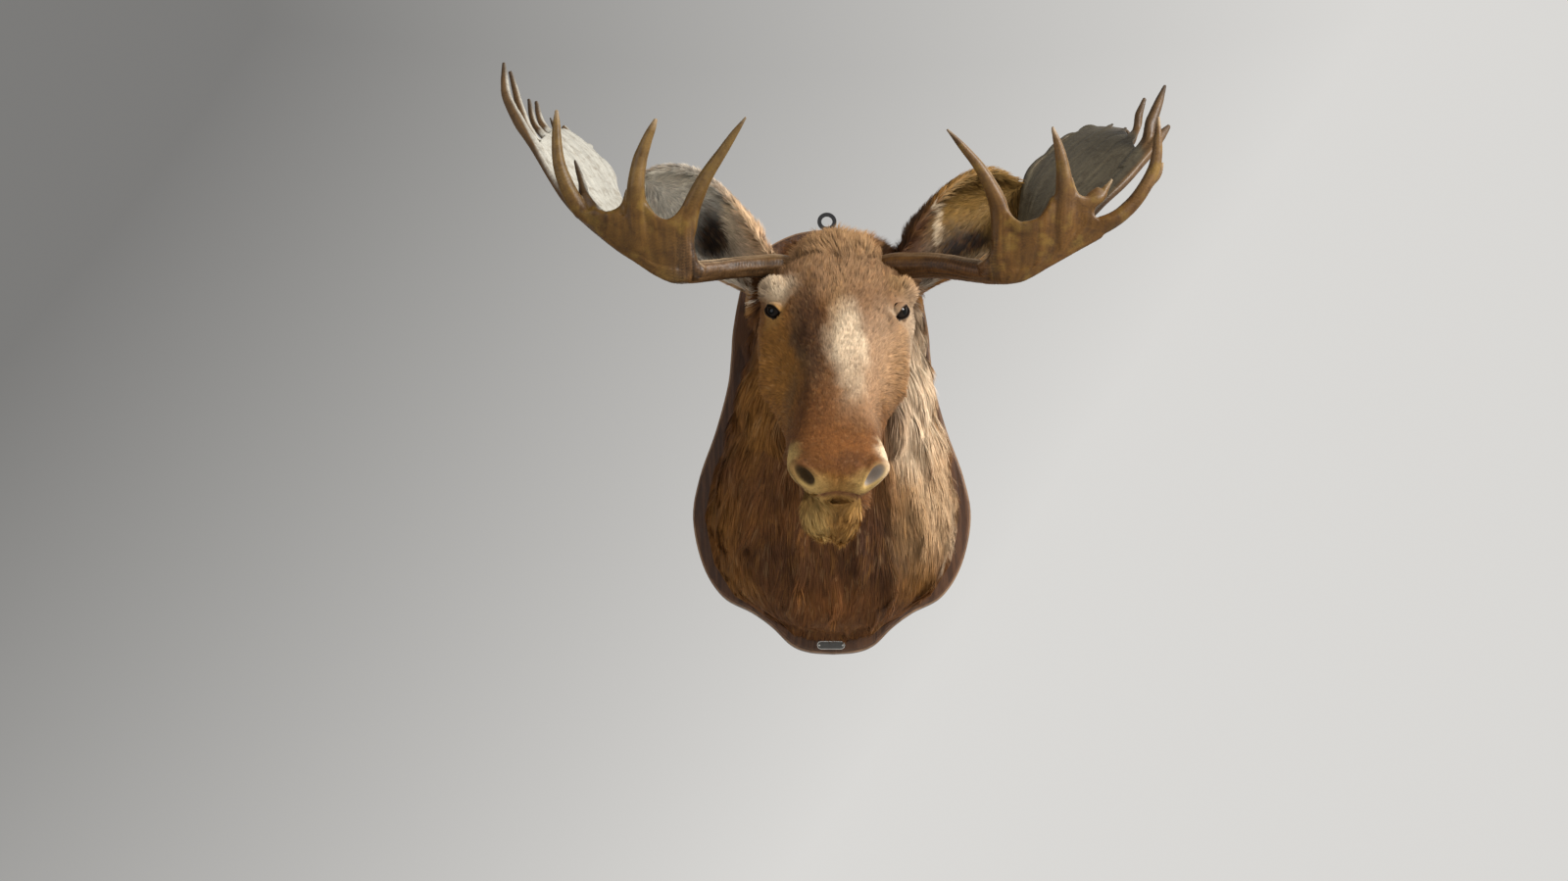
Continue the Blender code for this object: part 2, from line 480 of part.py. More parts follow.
def neck_point(position, angle):
    """Return a point of the neck at a section position and an angle from its top."""
    top_y, top_z, bottom_y, bottom_z, half, follow = at(NECK, position)
    side, up = squared(angle, NECK_SQUARE)
    fraction = (1 - up) / 2
    like_shield = math.copysign(lookup(SHIELD_LIKE, fraction), side)
    width = half * ((1 - follow) * side + follow * like_shield)
    shift = NECK_SHIFT * follow * min(max((0.6 - fraction) / 0.3, 0.0), 1.0)
    return Vector((
        width + shift, top_y + (bottom_y - top_y) * fraction, top_z + (bottom_z - top_z) * fraction))


def neck_middle(position):
    top_y, top_z, bottom_y, bottom_z = at(NECK, position)[:4]
    return Vector((0.0, (top_y + bottom_y) / 2, (top_z + bottom_z) / 2))


def ear_rows(stations, opening, steps=3):
    """Return the rows of a cupped ear: each row goes round its hollow from rim to rim."""
    line = smooth_line(stations, steps)
    rows = []
    for k, (x, y, z, half, curl) in enumerate(line):
        ahead, behind = line[min(k + 1, len(line) - 1)], line[max(k - 1, 0)]
        tangent = Vector((ahead - behind)[:3]).normalized()
        facing = (opening - tangent * opening.dot(tangent)).normalized()
        across = tangent.cross(facing)
        rows.append([
            Vector((x, y, z)) + half * (math.sin(a) * across - (math.cos(a) - 0.25) * facing)
            for a in (math.radians(curl * (j / 4 - 1)) for j in range(9))])
    return rows


def neck_locks(rng):
    """Return the long locks of the neck and the brisket as strands that follow its skin to the wall."""
    strands = []
    for row, (start, length, radius, count) in enumerate(NECK_LOCKS):
        first, arc = LOCK_ARC
        for k in range(count):
            angle = math.radians(first + arc / count * (k + 0.5 * (row % 2)) + rng.uniform(-4, 4))
            begin = start + rng.uniform(-0.15, 0.15)
            strand = []
            for share, size, lift in LOCK_SHAPE:
                position = begin - length * share
                point = neck_point(position, angle + math.radians(5) * share * math.sin(angle))
                outward = (point - neck_middle(position)).normalized()
                strand.append((*(point + outward * radius * lift), radius * size))
            strands.append(strand)
    return strands


def poll_tufts():
    """Return the tufts that stand up along the poll."""
    strands = []
    for k in range(POLL_TUFTS):
        step = k - (POLL_TUFTS - 1) / 2
        x = POLL_TUFT_SPACING * step + 0.004
        tip = POLL_TUFT_RISE * math.cos(math.radians(20 * step))
        strands.append([
            (*face_point(x * 0.80, 0.115, 0.004), 0.008), (*face_point(x * 0.95, 0.060, -0.001), 0.014),
            (*face_point(x, 0.015, 0.001), 0.012), (*face_point(x * 1.05, -tip, 0.004), 0.003)])
    return strands


def beard_locks(rng):
    """Return the locks of the beard under the chin."""
    strands = []
    for k in range(BEARD_LOCKS):
        x = BEARD_HALF_WIDTH * (2 * k / (BEARD_LOCKS - 1) - 1)
        low = 0.170 + 0.004 * (k % 3)
        strands.append([
            (*face_point(x * 0.90, 0.615, 0.120), 0.014), (*face_point(x, 0.650, 0.140), 0.017),
            (*face_point(x * 0.85, 0.668, 0.145 + 0.012 * (k % 2)), 0.014),
            (*face_point(x * 0.50 - 0.004, 0.676 + rng.uniform(-0.004, 0.004), low), 0.003)])
    return strands


def ear_tufts(rows):
    """Return three tufts that stand along an ear's upper rim."""
    strands = []
    for start in (2, 5, 8):
        root, middle, tip = rows[start][0], rows[start + 2][0], rows[start + 4][0]
        outward = (rows[start + 4][0] - rows[start + 4][4]).normalized()
        strands.append([(*root, 0.008), (*middle, 0.009), (*(tip + outward * 0.006), 0.002)])
    return strands


def eye_facing(sign):
    """Return the direction that an eye looks in, for the side with the given sign."""
    return Vector((sign * EYE_FACING.x, EYE_FACING.y, EYE_FACING.z))


def eyelid(eye, sign):
    """Return the rim of the lids round an eye, as one closed strand."""
    facing = eye_facing(sign)
    level = facing.cross(Vector((0.0, 0.0, 1.0))).normalized()
    upright = level.cross(facing)
    wide, tall = (EYE_RADIUS * share for share in LID_RADII)
    angles = (math.radians(30 * k) for k in range(13))
    rim = (eye + LID_OUT * facing + wide * math.cos(a) * level + tall * math.sin(a) * upright for a in angles)
    return [(*point, LID_THICKNESS) for point in rim]


def side_pieces(side, sign, eye, parts):
    """Return the lumps, lids and ear of one side of the head."""
    pieces = []
    for lump, ((across, along, down), radii, lies) in LUMPS.items():
        place = face_point(sign * across, along, down)
        pieces.append(ball(f"{lump} {side}", place, radii, parts, -FACE_TILT if lies else 0.0))
    x, y, z = EAR_ROOT
    pieces.append(ball("Ear root " + side, (sign * x, y, z), EAR_ROOT_RADII, parts))
    pieces.append(tubes("Eyelid " + side, [eyelid(eye, sign)], parts, 1))
    rows = ear_rows(EARS[side], EAR_OPENING[side])
    pieces.append(sheet("Ear " + side, rows, EAR_THICKNESS, parts, 1))
    pieces.append(tubes("Ear tufts " + side, ear_tufts(rows), parts))
    return pieces


def open_side(skin, side, sign, eye, cutters):
    """Cut one side's eye socket, lid opening, nostril and antler root out of the skin."""
    out, radius = (EYE_RADIUS * share for share in LID_OPENING)
    across, along, down = NOSTRIL
    root = [(x, y, z, thick + BEAM_CLEARANCE) for x, y, z, thick in BEAMS[side][:5]]
    for cutter in (
            ball("Eye socket " + side, eye, [EYE_RADIUS + GAP] * 3, cutters),
            ball("Eye opening " + side, eye + out * eye_facing(sign), [radius] * 3, cutters),
            ball("Nostril " + side, face_point(sign * across, along, down), NOSTRIL_RADII, cutters),
            weld(baked(tubes("Beam room " + side, [root], cutters)))):
        cut(skin, as_cutter(cutter))


def build_skin(parts, cutters, eyes):
    """Build the skin of the head, neck and ears as one piece, with its hair locks grown in."""
    rng = random.Random(7)
    angles = [2 * math.pi * k / 48 for k in range(48)]
    neck_rings = [[neck_point(k / 2, angle) for angle in angles] for k in range(2 * len(NECK) - 1)]
    pieces = [
        ring_loft("Neck", neck_rings, parts),
        ring_loft("Face", [face_ring(station) for station in smooth_line(FACE, 2)], parts),
        ring_loft("Jaw", [face_ring(station) for station in smooth_line(JAW, 2)], parts),
        tubes("Neck locks", neck_locks(rng), parts, 2),
        tubes("Head locks", poll_tufts() + beard_locks(rng), parts, 2)]
    for side, sign in SIDES.items():
        pieces += side_pieces(side, sign, eyes[side], parts)
    skin = fused("head_and_neck_skin", pieces, SKIN_VOXEL, SKIN_SMOOTHING, SKIN_TRIANGLES, parts)
    cut(skin, as_cutter(box("Wall side", (-0.6, SKIN_BACK, -0.8), (0.6, 0.2, 0.8), cutters)))
    for side, sign in SIDES.items():
        open_side(skin, side, sign, eyes[side], cutters)
    paint(skin, SKIN_COLOUR, 0.85)


def build_eyes(parts):
    """Build the two glass eyes, and return their centres."""
    centres = {}
    for side, sign in SIDES.items():
        centres[side] = face_point(sign * EYE_SIDE, EYE_ALONG, EYE_DOWN)
        eye = ball("eye_" + side, centres[side], [EYE_RADIUS] * 3, parts)
        eye.data.shade_smooth()
        paint(eye, EYE_COLOUR, 0.05)
    return centres


# ---------------------------------------------------------------- antlers
def loose_pieces(obj, count):
    """Part an object into its largest separate bodies, and drop splinters."""
    bpy.ops.object.select_all(action="DESELECT")
    obj.select_set(True)
    bpy.context.view_layer.objects.active = obj
    bpy.ops.mesh.separate(type="LOOSE")
    bodies = sorted(bpy.context.selected_objects, key=lambda body: -len(body.data.polygons))
    for splinter in bodies[count:]:
        bpy.data.objects.remove(splinter)
    return bodies[:count]


def saw(obj, joint, half_size, cutters):
    """Part an object with a thin saw cut, and return its two bodies."""
    point, across = joint
    turn = Vector((1.0, 0.0, 0.0)).rotation_difference(across.normalized()).to_matrix().to_4x4()
    bm = bmesh.new()
    size = Matrix.Diagonal((GAP, 2 * half_size, 2 * half_size, 1.0))
    bmesh.ops.create_cube(bm, size=1.0, matrix=Matrix.Translation(point) @ turn @ size)
    blade = as_cutter(mesh_object("Saw cut " + obj.name, bm, cutters))
    cut(obj, blade)
    return loose_pieces(baked(obj), 2)


def build_antler(side, parts, cutters):
    """Build one antler, parted at its two main forks into beam, brow palm and main palm."""
    collar = smooth_line(BEAMS[side][1:3], 6)[:len(BURR_RISE)]
    burr = [(x, y, z, radius + rise) for (x, y, z, radius), rise in zip(collar, BURR_RISE)]
    pieces = [
        tubes("Strands " + side, [BEAMS[side], *BROW_TINES[side], *MAIN_TINES[side]], parts),
        tubes("Burr " + side, [burr], parts, 2),
        sheet("Brow palm " + side, BROW_PALMS[side], BROW_PALM_THICKNESS, parts),
        sheet("Main palm " + side, MAIN_PALMS[side], MAIN_PALM_THICKNESS, parts)]
    whole = fused("antler_" + side, pieces, ANTLER_VOXEL, ANTLER_SMOOTHING, ANTLER_TRIANGLES, parts)
    bodies = saw(whole, BEAM_JOINTS[side], BEAM_SAW, cutters)
    beam, palms = sorted(bodies, key=lambda body: min(abs(corner[0]) for corner in body.bound_box))
    bodies = saw(palms, PALM_JOINTS[side], PALM_SAW, cutters)
    front, rear = sorted(bodies, key=lambda body: min(corner[1] for corner in body.bound_box))
    for body, (name, colour) in zip((beam, front, rear), ANTLER_COLOURS.items()):
        body.name = body.data.name = f"antler_{side}_{name}"
        paint(body, colour, 0.55)


# ---------------------------------------------------------------- shield, plate and hanger
def build_shield(parts):
    """Build the wooden shield with its moulded edge."""
    half = smooth_line(SHIELD_HALF, 2)
    outline = [Vector((x, 0.0, z)) for x, z in half] + [Vector((-x, 0.0, z)) for x, z in half[-2:0:-1]]
    bm = bmesh.new()
    front = plate(bm, outline, SHIELD_EDGE)
    rise = (SHIELD_THICKNESS - SHIELD_EDGE) / 2
    for width, depth in ((0.0, rise), (SHIELD_BEAD, 0.0), (SHIELD_COVE, rise)):
        bmesh.ops.inset_region(
            bm, faces=[front], thickness=width + EDGE_SLOPE, depth=depth, use_even_offset=True)
    shield = mesh_object("shield", bm, parts)
    shield.data.shade_smooth()
    shield.data.set_sharp_from_angle(angle=math.radians(35))
    paint(shield, SHIELD_COLOUR, 0.35)
    return shield


def build_nameplate(shield, parts, cutters):
    """Build the blank nameplate and the two pins that hold it."""
    half_length, half_height = PLATE_LENGTH / 2, PLATE_HEIGHT / 2
    shoulder = half_length - PLATE_SHOULDER
    quarter = [(0.0, half_height), (shoulder, half_height)]
    quarter += [(shoulder + PLATE_SHOULDER * math.sin(a), half_height * math.cos(a) ** 0.8)
                for a in (math.radians(22.5 * k) for k in range(1, 4))]
    quarter.append((half_length, 0.0))
    upper = [(-x, z) for x, z in quarter[::-1][:-1]] + quarter
    outline = upper + [(x, -z) for x, z in upper[-2:0:-1]]
    bm = bmesh.new()
    front = plate(bm, [PLATE_CENTRE + Vector((x, -GAP, z)) for x, z in outline], PLATE_THICKNESS)
    bmesh.ops.inset_region(bm, faces=[front], thickness=PLATE_RIM, depth=0.0)
    bmesh.ops.inset_region(bm, faces=[front], thickness=EDGE_SLOPE, depth=-PLATE_SINK)
    nameplate = mesh_object("nameplate", bm, parts)
    paint(nameplate, PLATE_COLOUR, 0.30, 1.0)
    field = -GAP - PLATE_THICKNESS + PLATE_SINK
    profile = ((0.0, PIN_LENGTH), (PIN_SHANK, PIN_LENGTH - 0.001), (PIN_SHANK, 0.0), *PIN_HEAD)
    for side, sign in SIDES.items():
        foot = PLATE_CENTRE + Vector((sign * PIN_SPACING / 2, field - GAP, 0.0))
        paint(turned("nameplate_pin_" + side, foot, profile, parts), PIN_COLOUR, 0.25, 1.0)
        middle = foot + Vector((0.0, PIN_LENGTH / 2, 0.0))
        hole = as_cutter(drill("Pin hole " + side, middle, PIN_SHANK + GAP, PIN_LENGTH + 0.001, cutters, 8))
        cut(nameplate, hole)
        cut(shield, hole)


def hanger_outline(back, grow):
    """Return the outline of the ring and its strap at a place on Y, grown by a margin."""
    outer, half, low = RING_OUTER + grow, STRAP_WIDTH / 2 + grow, STRAP_BOTTOM - grow
    open_angle = math.pi - math.asin(half / outer)
    angles = [open_angle * (k / 12 - 1) for k in range(25)]
    ring = [(outer * math.sin(a), RING_CENTRE.z + outer * math.cos(a)) for a in angles]
    strap = [(half, low + STRAP_CORNER), (half - STRAP_CORNER, low),
             (STRAP_CORNER - half, low), (-half, low + STRAP_CORNER)]
    return [Vector((RING_CENTRE.x + x, back, z)) for x, z in ring + strap]


def build_hanger(shield, parts, cutters):
    """Build the black hanger, a flat ring on a strap let into the shield's back, and its two screws."""
    bm = bmesh.new()
    plate(bm, hanger_outline(STRAP_BACK, 0.0), STRAP_THICKNESS)
    hanger = mesh_object("hanger", bm, parts)
    paint(hanger, HANGER_COLOUR, 0.40, 0.6)
    bm = bmesh.new()
    plate(bm, hanger_outline(0.002, GAP), 0.002 - STRAP_BACK + STRAP_THICKNESS + GAP)
    cut(shield, as_cutter(mesh_object("Hanger recess", bm, cutters)))
    cut(hanger, as_cutter(drill("Hanger hole", RING_CENTRE, RING_HOLE, 0.02, cutters, 24)))
    head = ((SCREW_HEAD, 0.0), (SCREW_HEAD, -SCREW_RIM), (SCREW_SHANK, SCREW_SHANK - SCREW_HEAD - SCREW_RIM))
    shank = ((SCREW_SHANK, SCREW_POINT - SCREW_LENGTH), (0.0, -SCREW_LENGTH))
    for place, height in STRAP_SCREWS.items():
        back = Vector((RING_CENTRE.x, SCREW_BACK, height))
        screw = turned("hanger_screw_" + place, back, ((0.0, 0.0), *head, *shank), parts)
        paint(screw, SCREW_COLOUR, 0.40, 1.0)
        room = [(radius + GAP, y) for radius, y in (*head[1:], shank[0])]
        room = [(0.0, 0.002), (SCREW_HEAD + GAP, 0.002), *room, (0.0, -SCREW_LENGTH - 3 * GAP)]
        hole = as_cutter(turned("Screw hole " + place, back, room, cutters))
        cut(hanger, hole)
        cut(shield, hole)


def main():
    clear_scene()
    parts = new_collection("Mounted moose head")
    cutters = new_collection("Cutters")
    shield = build_shield(parts)
    build_nameplate(shield, parts, cutters)
    build_hanger(shield, parts, cutters)
    eyes = build_eyes(parts)
    build_skin(parts, cutters, eyes)
    for side in SIDES:
        build_antler(side, parts, cutters)


if __name__ == "__main__":
    main()
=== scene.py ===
"""The looks of a moose head mounted on a wooden shield: coat, eyes, antlers, wood and metal, and the stage.

Metres, +Z up, +X to the viewer's right. The wall is the plane y = 0 and the head looks along -Y. The script
is laid out as an add-on and is run as a script. Each operator builds one piece or group of pieces round the
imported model.
"""
import contextlib
import itertools
import math
import random

import bmesh
import bpy
import numpy as np
from mathutils import Matrix, Vector
from mathutils.kdtree import KDTree


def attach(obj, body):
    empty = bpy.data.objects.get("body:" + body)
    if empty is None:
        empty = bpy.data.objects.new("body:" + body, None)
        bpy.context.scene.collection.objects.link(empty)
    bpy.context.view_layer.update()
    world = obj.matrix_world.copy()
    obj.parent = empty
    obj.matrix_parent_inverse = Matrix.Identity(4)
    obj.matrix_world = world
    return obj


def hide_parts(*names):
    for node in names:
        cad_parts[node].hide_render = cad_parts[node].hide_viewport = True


bl_info = {
    "name": "Mounted moose head",
    "version": (1, 0, 0),
    "blender": (4, 5, 0),
    "location": "3D View > Sidebar > Moose",
    "description": "Builds the coat, eyes, antlers, shield and fittings of a mounted moose head",
    "category": "Object",
}

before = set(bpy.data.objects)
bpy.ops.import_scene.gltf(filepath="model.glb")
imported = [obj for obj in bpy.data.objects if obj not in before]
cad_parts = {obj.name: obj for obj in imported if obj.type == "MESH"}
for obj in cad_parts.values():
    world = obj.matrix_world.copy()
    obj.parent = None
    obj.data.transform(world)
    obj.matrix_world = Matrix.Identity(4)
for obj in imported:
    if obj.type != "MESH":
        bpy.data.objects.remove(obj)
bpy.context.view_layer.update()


def metres(table):
    """Return a table of millimetres in metres."""
    if isinstance(table, dict):
        return {name: metres(rows) for name, rows in table.items()}
    if isinstance(table, tuple):
        return tuple(metres(item) for item in table)
    return round(table / 1000, 6)


# ---- the stage
CAMERA_PLACE, CAMERA_TURN = (-0.1025, -3.231, -0.7615), (math.radians(103.0), 0.0, 0.0)
# The lamps: place, what each points at, width and colour
LIGHTS = {
    "Window": ((3.0, -2.3, 1.7), (0.0, -0.3, 0.05), 1.3, (1.0, 0.985, 0.96)),
    "Fill": ((-2.8, -2.6, 0.6), (0.0, -0.2, 0.1), 2.2, (0.98, 0.98, 1.0))}
# How the soft light changes across and up, between which heights, and between which strengths
SKY_SLOPE, SKY_BAND, SKY_LIMITS = (0.75, -0.52), (-0.1, 0.45), (0.20, 0.70)
FLOOR_RADIUS, FLOOR_MIDDLE = 3.2, -1.0

# ---- the head and the neck
SIDES = {"left": -1, "right": 1}
FACE_TILT = math.radians(55.2)  # slope of the face below the horizontal
POLL = np.array((0.0, -0.330, 0.330))
ALONG = np.array((0.0, -math.cos(FACE_TILT), -math.sin(FACE_TILT)))
DOWN = np.array((0.0, math.sin(FACE_TILT), -math.cos(FACE_TILT)))
FACE_TURN = -0.014              # sideways drift of the face for each metre towards the nose
TOP_SQUARE, BOTTOM_SQUARE, NECK_SQUARE = 2.8, 2.1, 2.3  # 2 is an oval, and more is squarer
# Stations down the face, from the poll to the nose, in millimetres: along, top, widest, bottom, half width
FACE = metres((
    (-35, 30, 90, 190, 80), (0, 8, 85, 215, 110), (40, -2, 85, 240, 123), (100, -4, 92, 262, 131),
    (150, -2, 96, 272, 140), (200, 2, 100, 274, 142), (250, 8, 104, 266, 139), (300, 12, 106, 248, 139),
    (360, 15, 102, 214, 125), (415, 15, 92, 180, 111), (483, 14, 80, 150, 99), (546, 10, 70, 130, 92),
    (600, 4, 60, 114, 90.5), (640, 2, 52, 100, 88.5), (668, 5, 48, 90, 81), (688, 16, 48, 80, 66),
    (699, 32, 50, 68, 36)))
JAW = metres((
    (260, 150, 205, 292, 94), (340, 140, 190, 276, 88), (420, 100, 160, 246, 80), (500, 80, 140, 216, 72),
    (570, 80, 128, 192, 62), (625, 80, 120, 172, 53), (658, 86, 114, 154, 45), (676, 96, 113, 134, 29)))
# Lumps on each side of the head: place (across, along, down), radii, and whether they lie along the face
LUMPS = {
    "Brow": ((0.121, 0.152, 0.03), (0.027, 0.03, 0.024), True),
    "Cheek": ((0.112, 0.3, 0.105), (0.028, 0.05, 0.07), True),
    "Nostril wing": ((0.058, 0.655, 0.04), (0.034, 0.036, 0.034), False),
    "Jowl": ((0.07, 0.52, 0.11), (0.03, 0.04, 0.03), False)}
# Sections of the neck, from the wall to the head: top (y, z), bottom (y, z), half width, and how far the
# section follows the shield's outline rather than an oval
NECK = (
    (0.02, 0.352, 0.02, -0.446, 0.258, 1.0), (-0.04, 0.354, -0.05, -0.447, 0.26, 1.0),
    (-0.085, 0.358, -0.12, -0.434, 0.256, 0.97), (-0.13, 0.362, -0.19, -0.392, 0.246, 0.88),
    (-0.175, 0.364, -0.242, -0.326, 0.226, 0.72), (-0.215, 0.362, -0.28, -0.244, 0.198, 0.5),
    (-0.25, 0.356, -0.308, -0.16, 0.166, 0.3), (-0.285, 0.348, -0.325, -0.08, 0.146, 0.12),
    (-0.315, 0.336, -0.33, -0.01, 0.134, 0.03), (-0.34, 0.318, -0.34, 0.03, 0.12, 0.0))
# Width of the base against its height, from top to bottom: (fraction down, fraction of the half width)
SHIELD_LIKE = (
    (0.0, 0.0), (0.006, 0.26), (0.025, 0.46), (0.06, 0.57), (0.13, 0.62), (0.233, 0.655), (0.343, 0.715),
    (0.452, 0.82), (0.56, 0.925), (0.64, 0.98), (0.72, 1.0), (0.823, 0.915), (0.886, 0.775),
    (0.942, 0.55), (0.978, 0.32), (0.994, 0.16), (1.0, 0.0))
NECK_SHIFT = 0.018              # the upper neck stands this far to the right of the shield's middle
# Rows of hair locks round the neck, from the head to the wall: (section, sections long, radius, count)
NECK_LOCKS = (
    (7.4, 1.5, 0.013, 10), (6.2, 1.6, 0.015, 10), (5.0, 1.6, 0.017, 10), (3.9, 1.5, 0.018, 10),
    (2.8, 1.3, 0.018, 10), (1.9, 1.1, 0.017, 8))
# Each lock from root to tip: (share of its length, share of its radius, how many radii it lifts)
LOCK_SHAPE = ((0.0, 0.35, -0.50), (0.3, 0.90, -0.45), (0.65, 1.0, -0.20), (1.0, 0.16, 0.45))
LOCK_ARC = (44, 302)            # degrees from the neck's top to a row's first lock, and on to its last
LOCK_STRAY, LOCK_BEND = 4, 5    # degrees that a lock stands out of its row, and that it bends on its way
BEARD_LOCKS, BEARD_HALF_WIDTH = 6, 0.040
# The ears: middle line from root to tip (x, y, z), half width there, and how far the rims curl round
EARS = {
    "left": (
        (-0.105, -0.255, 0.235, 0.034, 125), (-0.16, -0.262, 0.29, 0.052, 120),
        (-0.222, -0.262, 0.345, 0.072, 108), (-0.292, -0.25, 0.405, 0.084, 96),
        (-0.35, -0.23, 0.456, 0.068, 90), (-0.388, -0.212, 0.492, 0.036, 82),
        (-0.407, -0.204, 0.51, 0.01, 75)),
    "right": (
        (0.105, -0.255, 0.235, 0.034, 125), (0.16, -0.262, 0.292, 0.052, 120),
        (0.218, -0.262, 0.345, 0.072, 108), (0.286, -0.25, 0.4, 0.084, 96),
        (0.346, -0.23, 0.446, 0.068, 90), (0.384, -0.212, 0.476, 0.036, 82),
        (0.402, -0.204, 0.49, 0.01, 75))}
EAR_OPENING = {"left": Vector((-0.45, -0.88, -0.10)), "right": Vector((0.45, -0.88, -0.10))}
EAR_THICKNESS = 0.010
EAR_ROOT, EAR_ROOT_RADII = (0.135, -0.235, 0.225), (0.042, 0.048, 0.055)

# ---- how the skin is shaped
SHIELD_THICKNESS = 0.025
SHIELD_FRONT = -SHIELD_THICKNESS - 0.0006       # skin and hair stay in front of this plane
WELD = 1e-6                     # vertices nearer than this are one
SKIN_SMOOTHING = 3              # rounds of smoothing on the whole skin as it is grown
NECK_SOFTENING, FACE_SOFTENING = 8, 14          # rounds of smoothing on the neck and on the head
BRIDGE_FALL = 0.034             # how far the sides of the nose fall away from its bridge
POLL_DROP = 0.030               # how far the poll falls away to its sides
LIP_SQUEEZE, NOSE_RISE = 0.26, 0.010            # how far the lips are drawn in, and the nose's tip set back
CHIN_SHIFT, RIGHT_BROW_OUT = 0.012, 0.009       # how far the chin moves to the left, and the right brow out
# How far each cheek is drawn in, down the face, in millimetres: (along, inwards)
CHEEKS_IN = metres({
    "left": (
        (220, 0), (300, 4), (400, 11), (480, 11), (570, 5), (640, 0)),
    "right": (
        (220, 0), (300, 10), (380, 20), (460, 25), (550, 14), (630, 0))})
# Folds pressed into the skin, in millimetres: a line over the face, its width and its depth
FOLDS = metres({
    "Mouth": (((-44, 672, 66), (-22, 689, 52), (0, 692, 48), (22, 689, 53), (44, 672, 66)), 3.5, 6),
    "Philtrum": (((0, 690, 40), (0, 684, 22)), 4, 2.5),
    "Left cheek fold": (((-55, 310, 14), (-78, 360, 24), (-88, 420, 34), (-90, 490, 40)), 6, 3.5),
    "Under right eye": (((98, 235, 26), (104, 275, 34), (116, 330, 46)), 7, 4),
    "Over left eye": (((-130, 120, 30), (-112, 118, 10), (-96, 128, 4)), 6, 4)})
NOSTRILS = {"left": (-0.0600, 0.676, 0.0195), "right": (0.0625, 0.676, 0.0205)}
NOSTRIL_HALF, NOSTRIL_SLANT, NOSTRIL_DEPTH, NOSTRIL_RIM = (0.0235, 0.0120), -52, 0.015, 0.0018
EYE_ALONG, EYE_DOWN, EYE_SIDE = 0.198, 0.040, 0.1155
EYE_SHIFTS = {"left": 0.0, "right": 0.006}      # how far each eye stands out from the frame's own
LID_STANDOFF, LID_RIM = 0.0030, 0.0016  # how far a lid stands off the eyeball, and its rim off the lid
SOCKET_ROOM, BEAM_ROOM = 0.0002, 0.001  # how much wider the openings are than the eyeballs and the beams
BEAM_ROOT = 5                   # so many of a beam's first points lie in the skin's opening for it
# Where the middle of each opening between the lids looks, how it slants, and its half size against the eye
LOOKS = {"left": (-0.46, -0.83, -0.16), "right": (0.66, -0.72, -0.20)}
LID_SLANT = {"left": 38, "right": -48}
LID_HALF = {"left": (0.89, 0.50), "right": (0.89, 0.47)}
LID_SQUARE = 1.7                # 2 is an oval, and less is more like an almond
FAR = 9.0                       # stands for a distance that is out of reach

# ---- the hair
# How long the hair is down the face, in millimetres (along, length), and how far it lifts there, in metres
# and radians (along, lift)
FACE_HAIR = metres((
    (-40, 44), (40, 40), (100, 26), (200, 13), (350, 9), (500, 7), (600, 5)))
FACE_LIFT = ((-0.04, 0.85), (0.04, 0.65), (0.12, 0.35), (0.30, 0.25), (0.60, 0.20))
# The kinds of hair, and how many hairs each square metre of them has
NECK_HAIR, FACE_FUR, EAR_BACK, EAR_INSIDE, BEARD, MUZZLE = range(6)
DENSITIES = (190000, 270000, 200000, 120000, 300000, 450000)
HAIRS_PER_LOCK, LOCK_PULL = 8, 0.40
HAIR_WIDTHS = (0.61, 0.67, 1.0)         # of short, middling and long hair, against the widest
HAIR_SHADES = (-0.38, -0.38, 0.0, 0.0, 0.22)    # lighter or darker from a hair's root to its tip; the darker roots are painted shade deep in the coat
STREAKS = (("gold", 0.00, 0.16), ("dark brown", 0.16, 0.34), ("pale tan", 0.34, 0.42), ("rust", 0.42, 0.55))
SHIELD_MARGIN = 0.026           # how far inside the shield's outline the hair ends
# The markings of the ears and beard, in millimetres: colour, kind of hair, middle, radii and strength. Some
# of them are painted light and painted shade, as noted at each.
HAIR_MARKINGS = (
    # The next two, and the ear tan inside below, are partly the left ear's own pale hair and partly painted
    # light, made paler where the lamps leave the ear dim
    ("ear tan", EAR_BACK, (-155, -310, 340), (90, 160, 130), 0.95),
    ("grey", EAR_BACK, (-330, -260, 430), (120, 160, 140), 0.9),
    ("olive gold", EAR_BACK, (320, -250, 440), (140, 160, 140), 0.85),
    ("dark brown", EAR_BACK, (150, -300, 330), (100, 160, 120), 0.9),
    # Painted shade: near black in the hollow of the left ear
    ("near black", EAR_INSIDE, (-250, -210, 365), (68, 160, 85), 1.0),
    # Partly painted light, as on the back of this ear
    ("ear tan", EAR_INSIDE, (-130, -300, 350), (85, 180, 140), 1.0),
    ("cream", EAR_INSIDE, (-212, -260, 395), (14, 160, 60), 0.9),
    ("olive gold", EAR_INSIDE, (310, -200, 420), (300, 300, 260), 1.0),
    # Painted shade: near black in the hollow of the right ear
    ("near black", EAR_INSIDE, (262, -200, 335), (90, 160, 60), 1.0),
    ("dark brown", EAR_INSIDE, (150, -310, 340), (70, 160, 130), 1.0),
    ("cream", EAR_INSIDE, (205, -240, 405), (10, 160, 50), 0.8),
    ("straw", BEARD, (-56, -680, -300), (36, 120, 70), 0.9),
    ("amber", BEARD, (4, -680, -315), (36, 120, 70), 0.8))
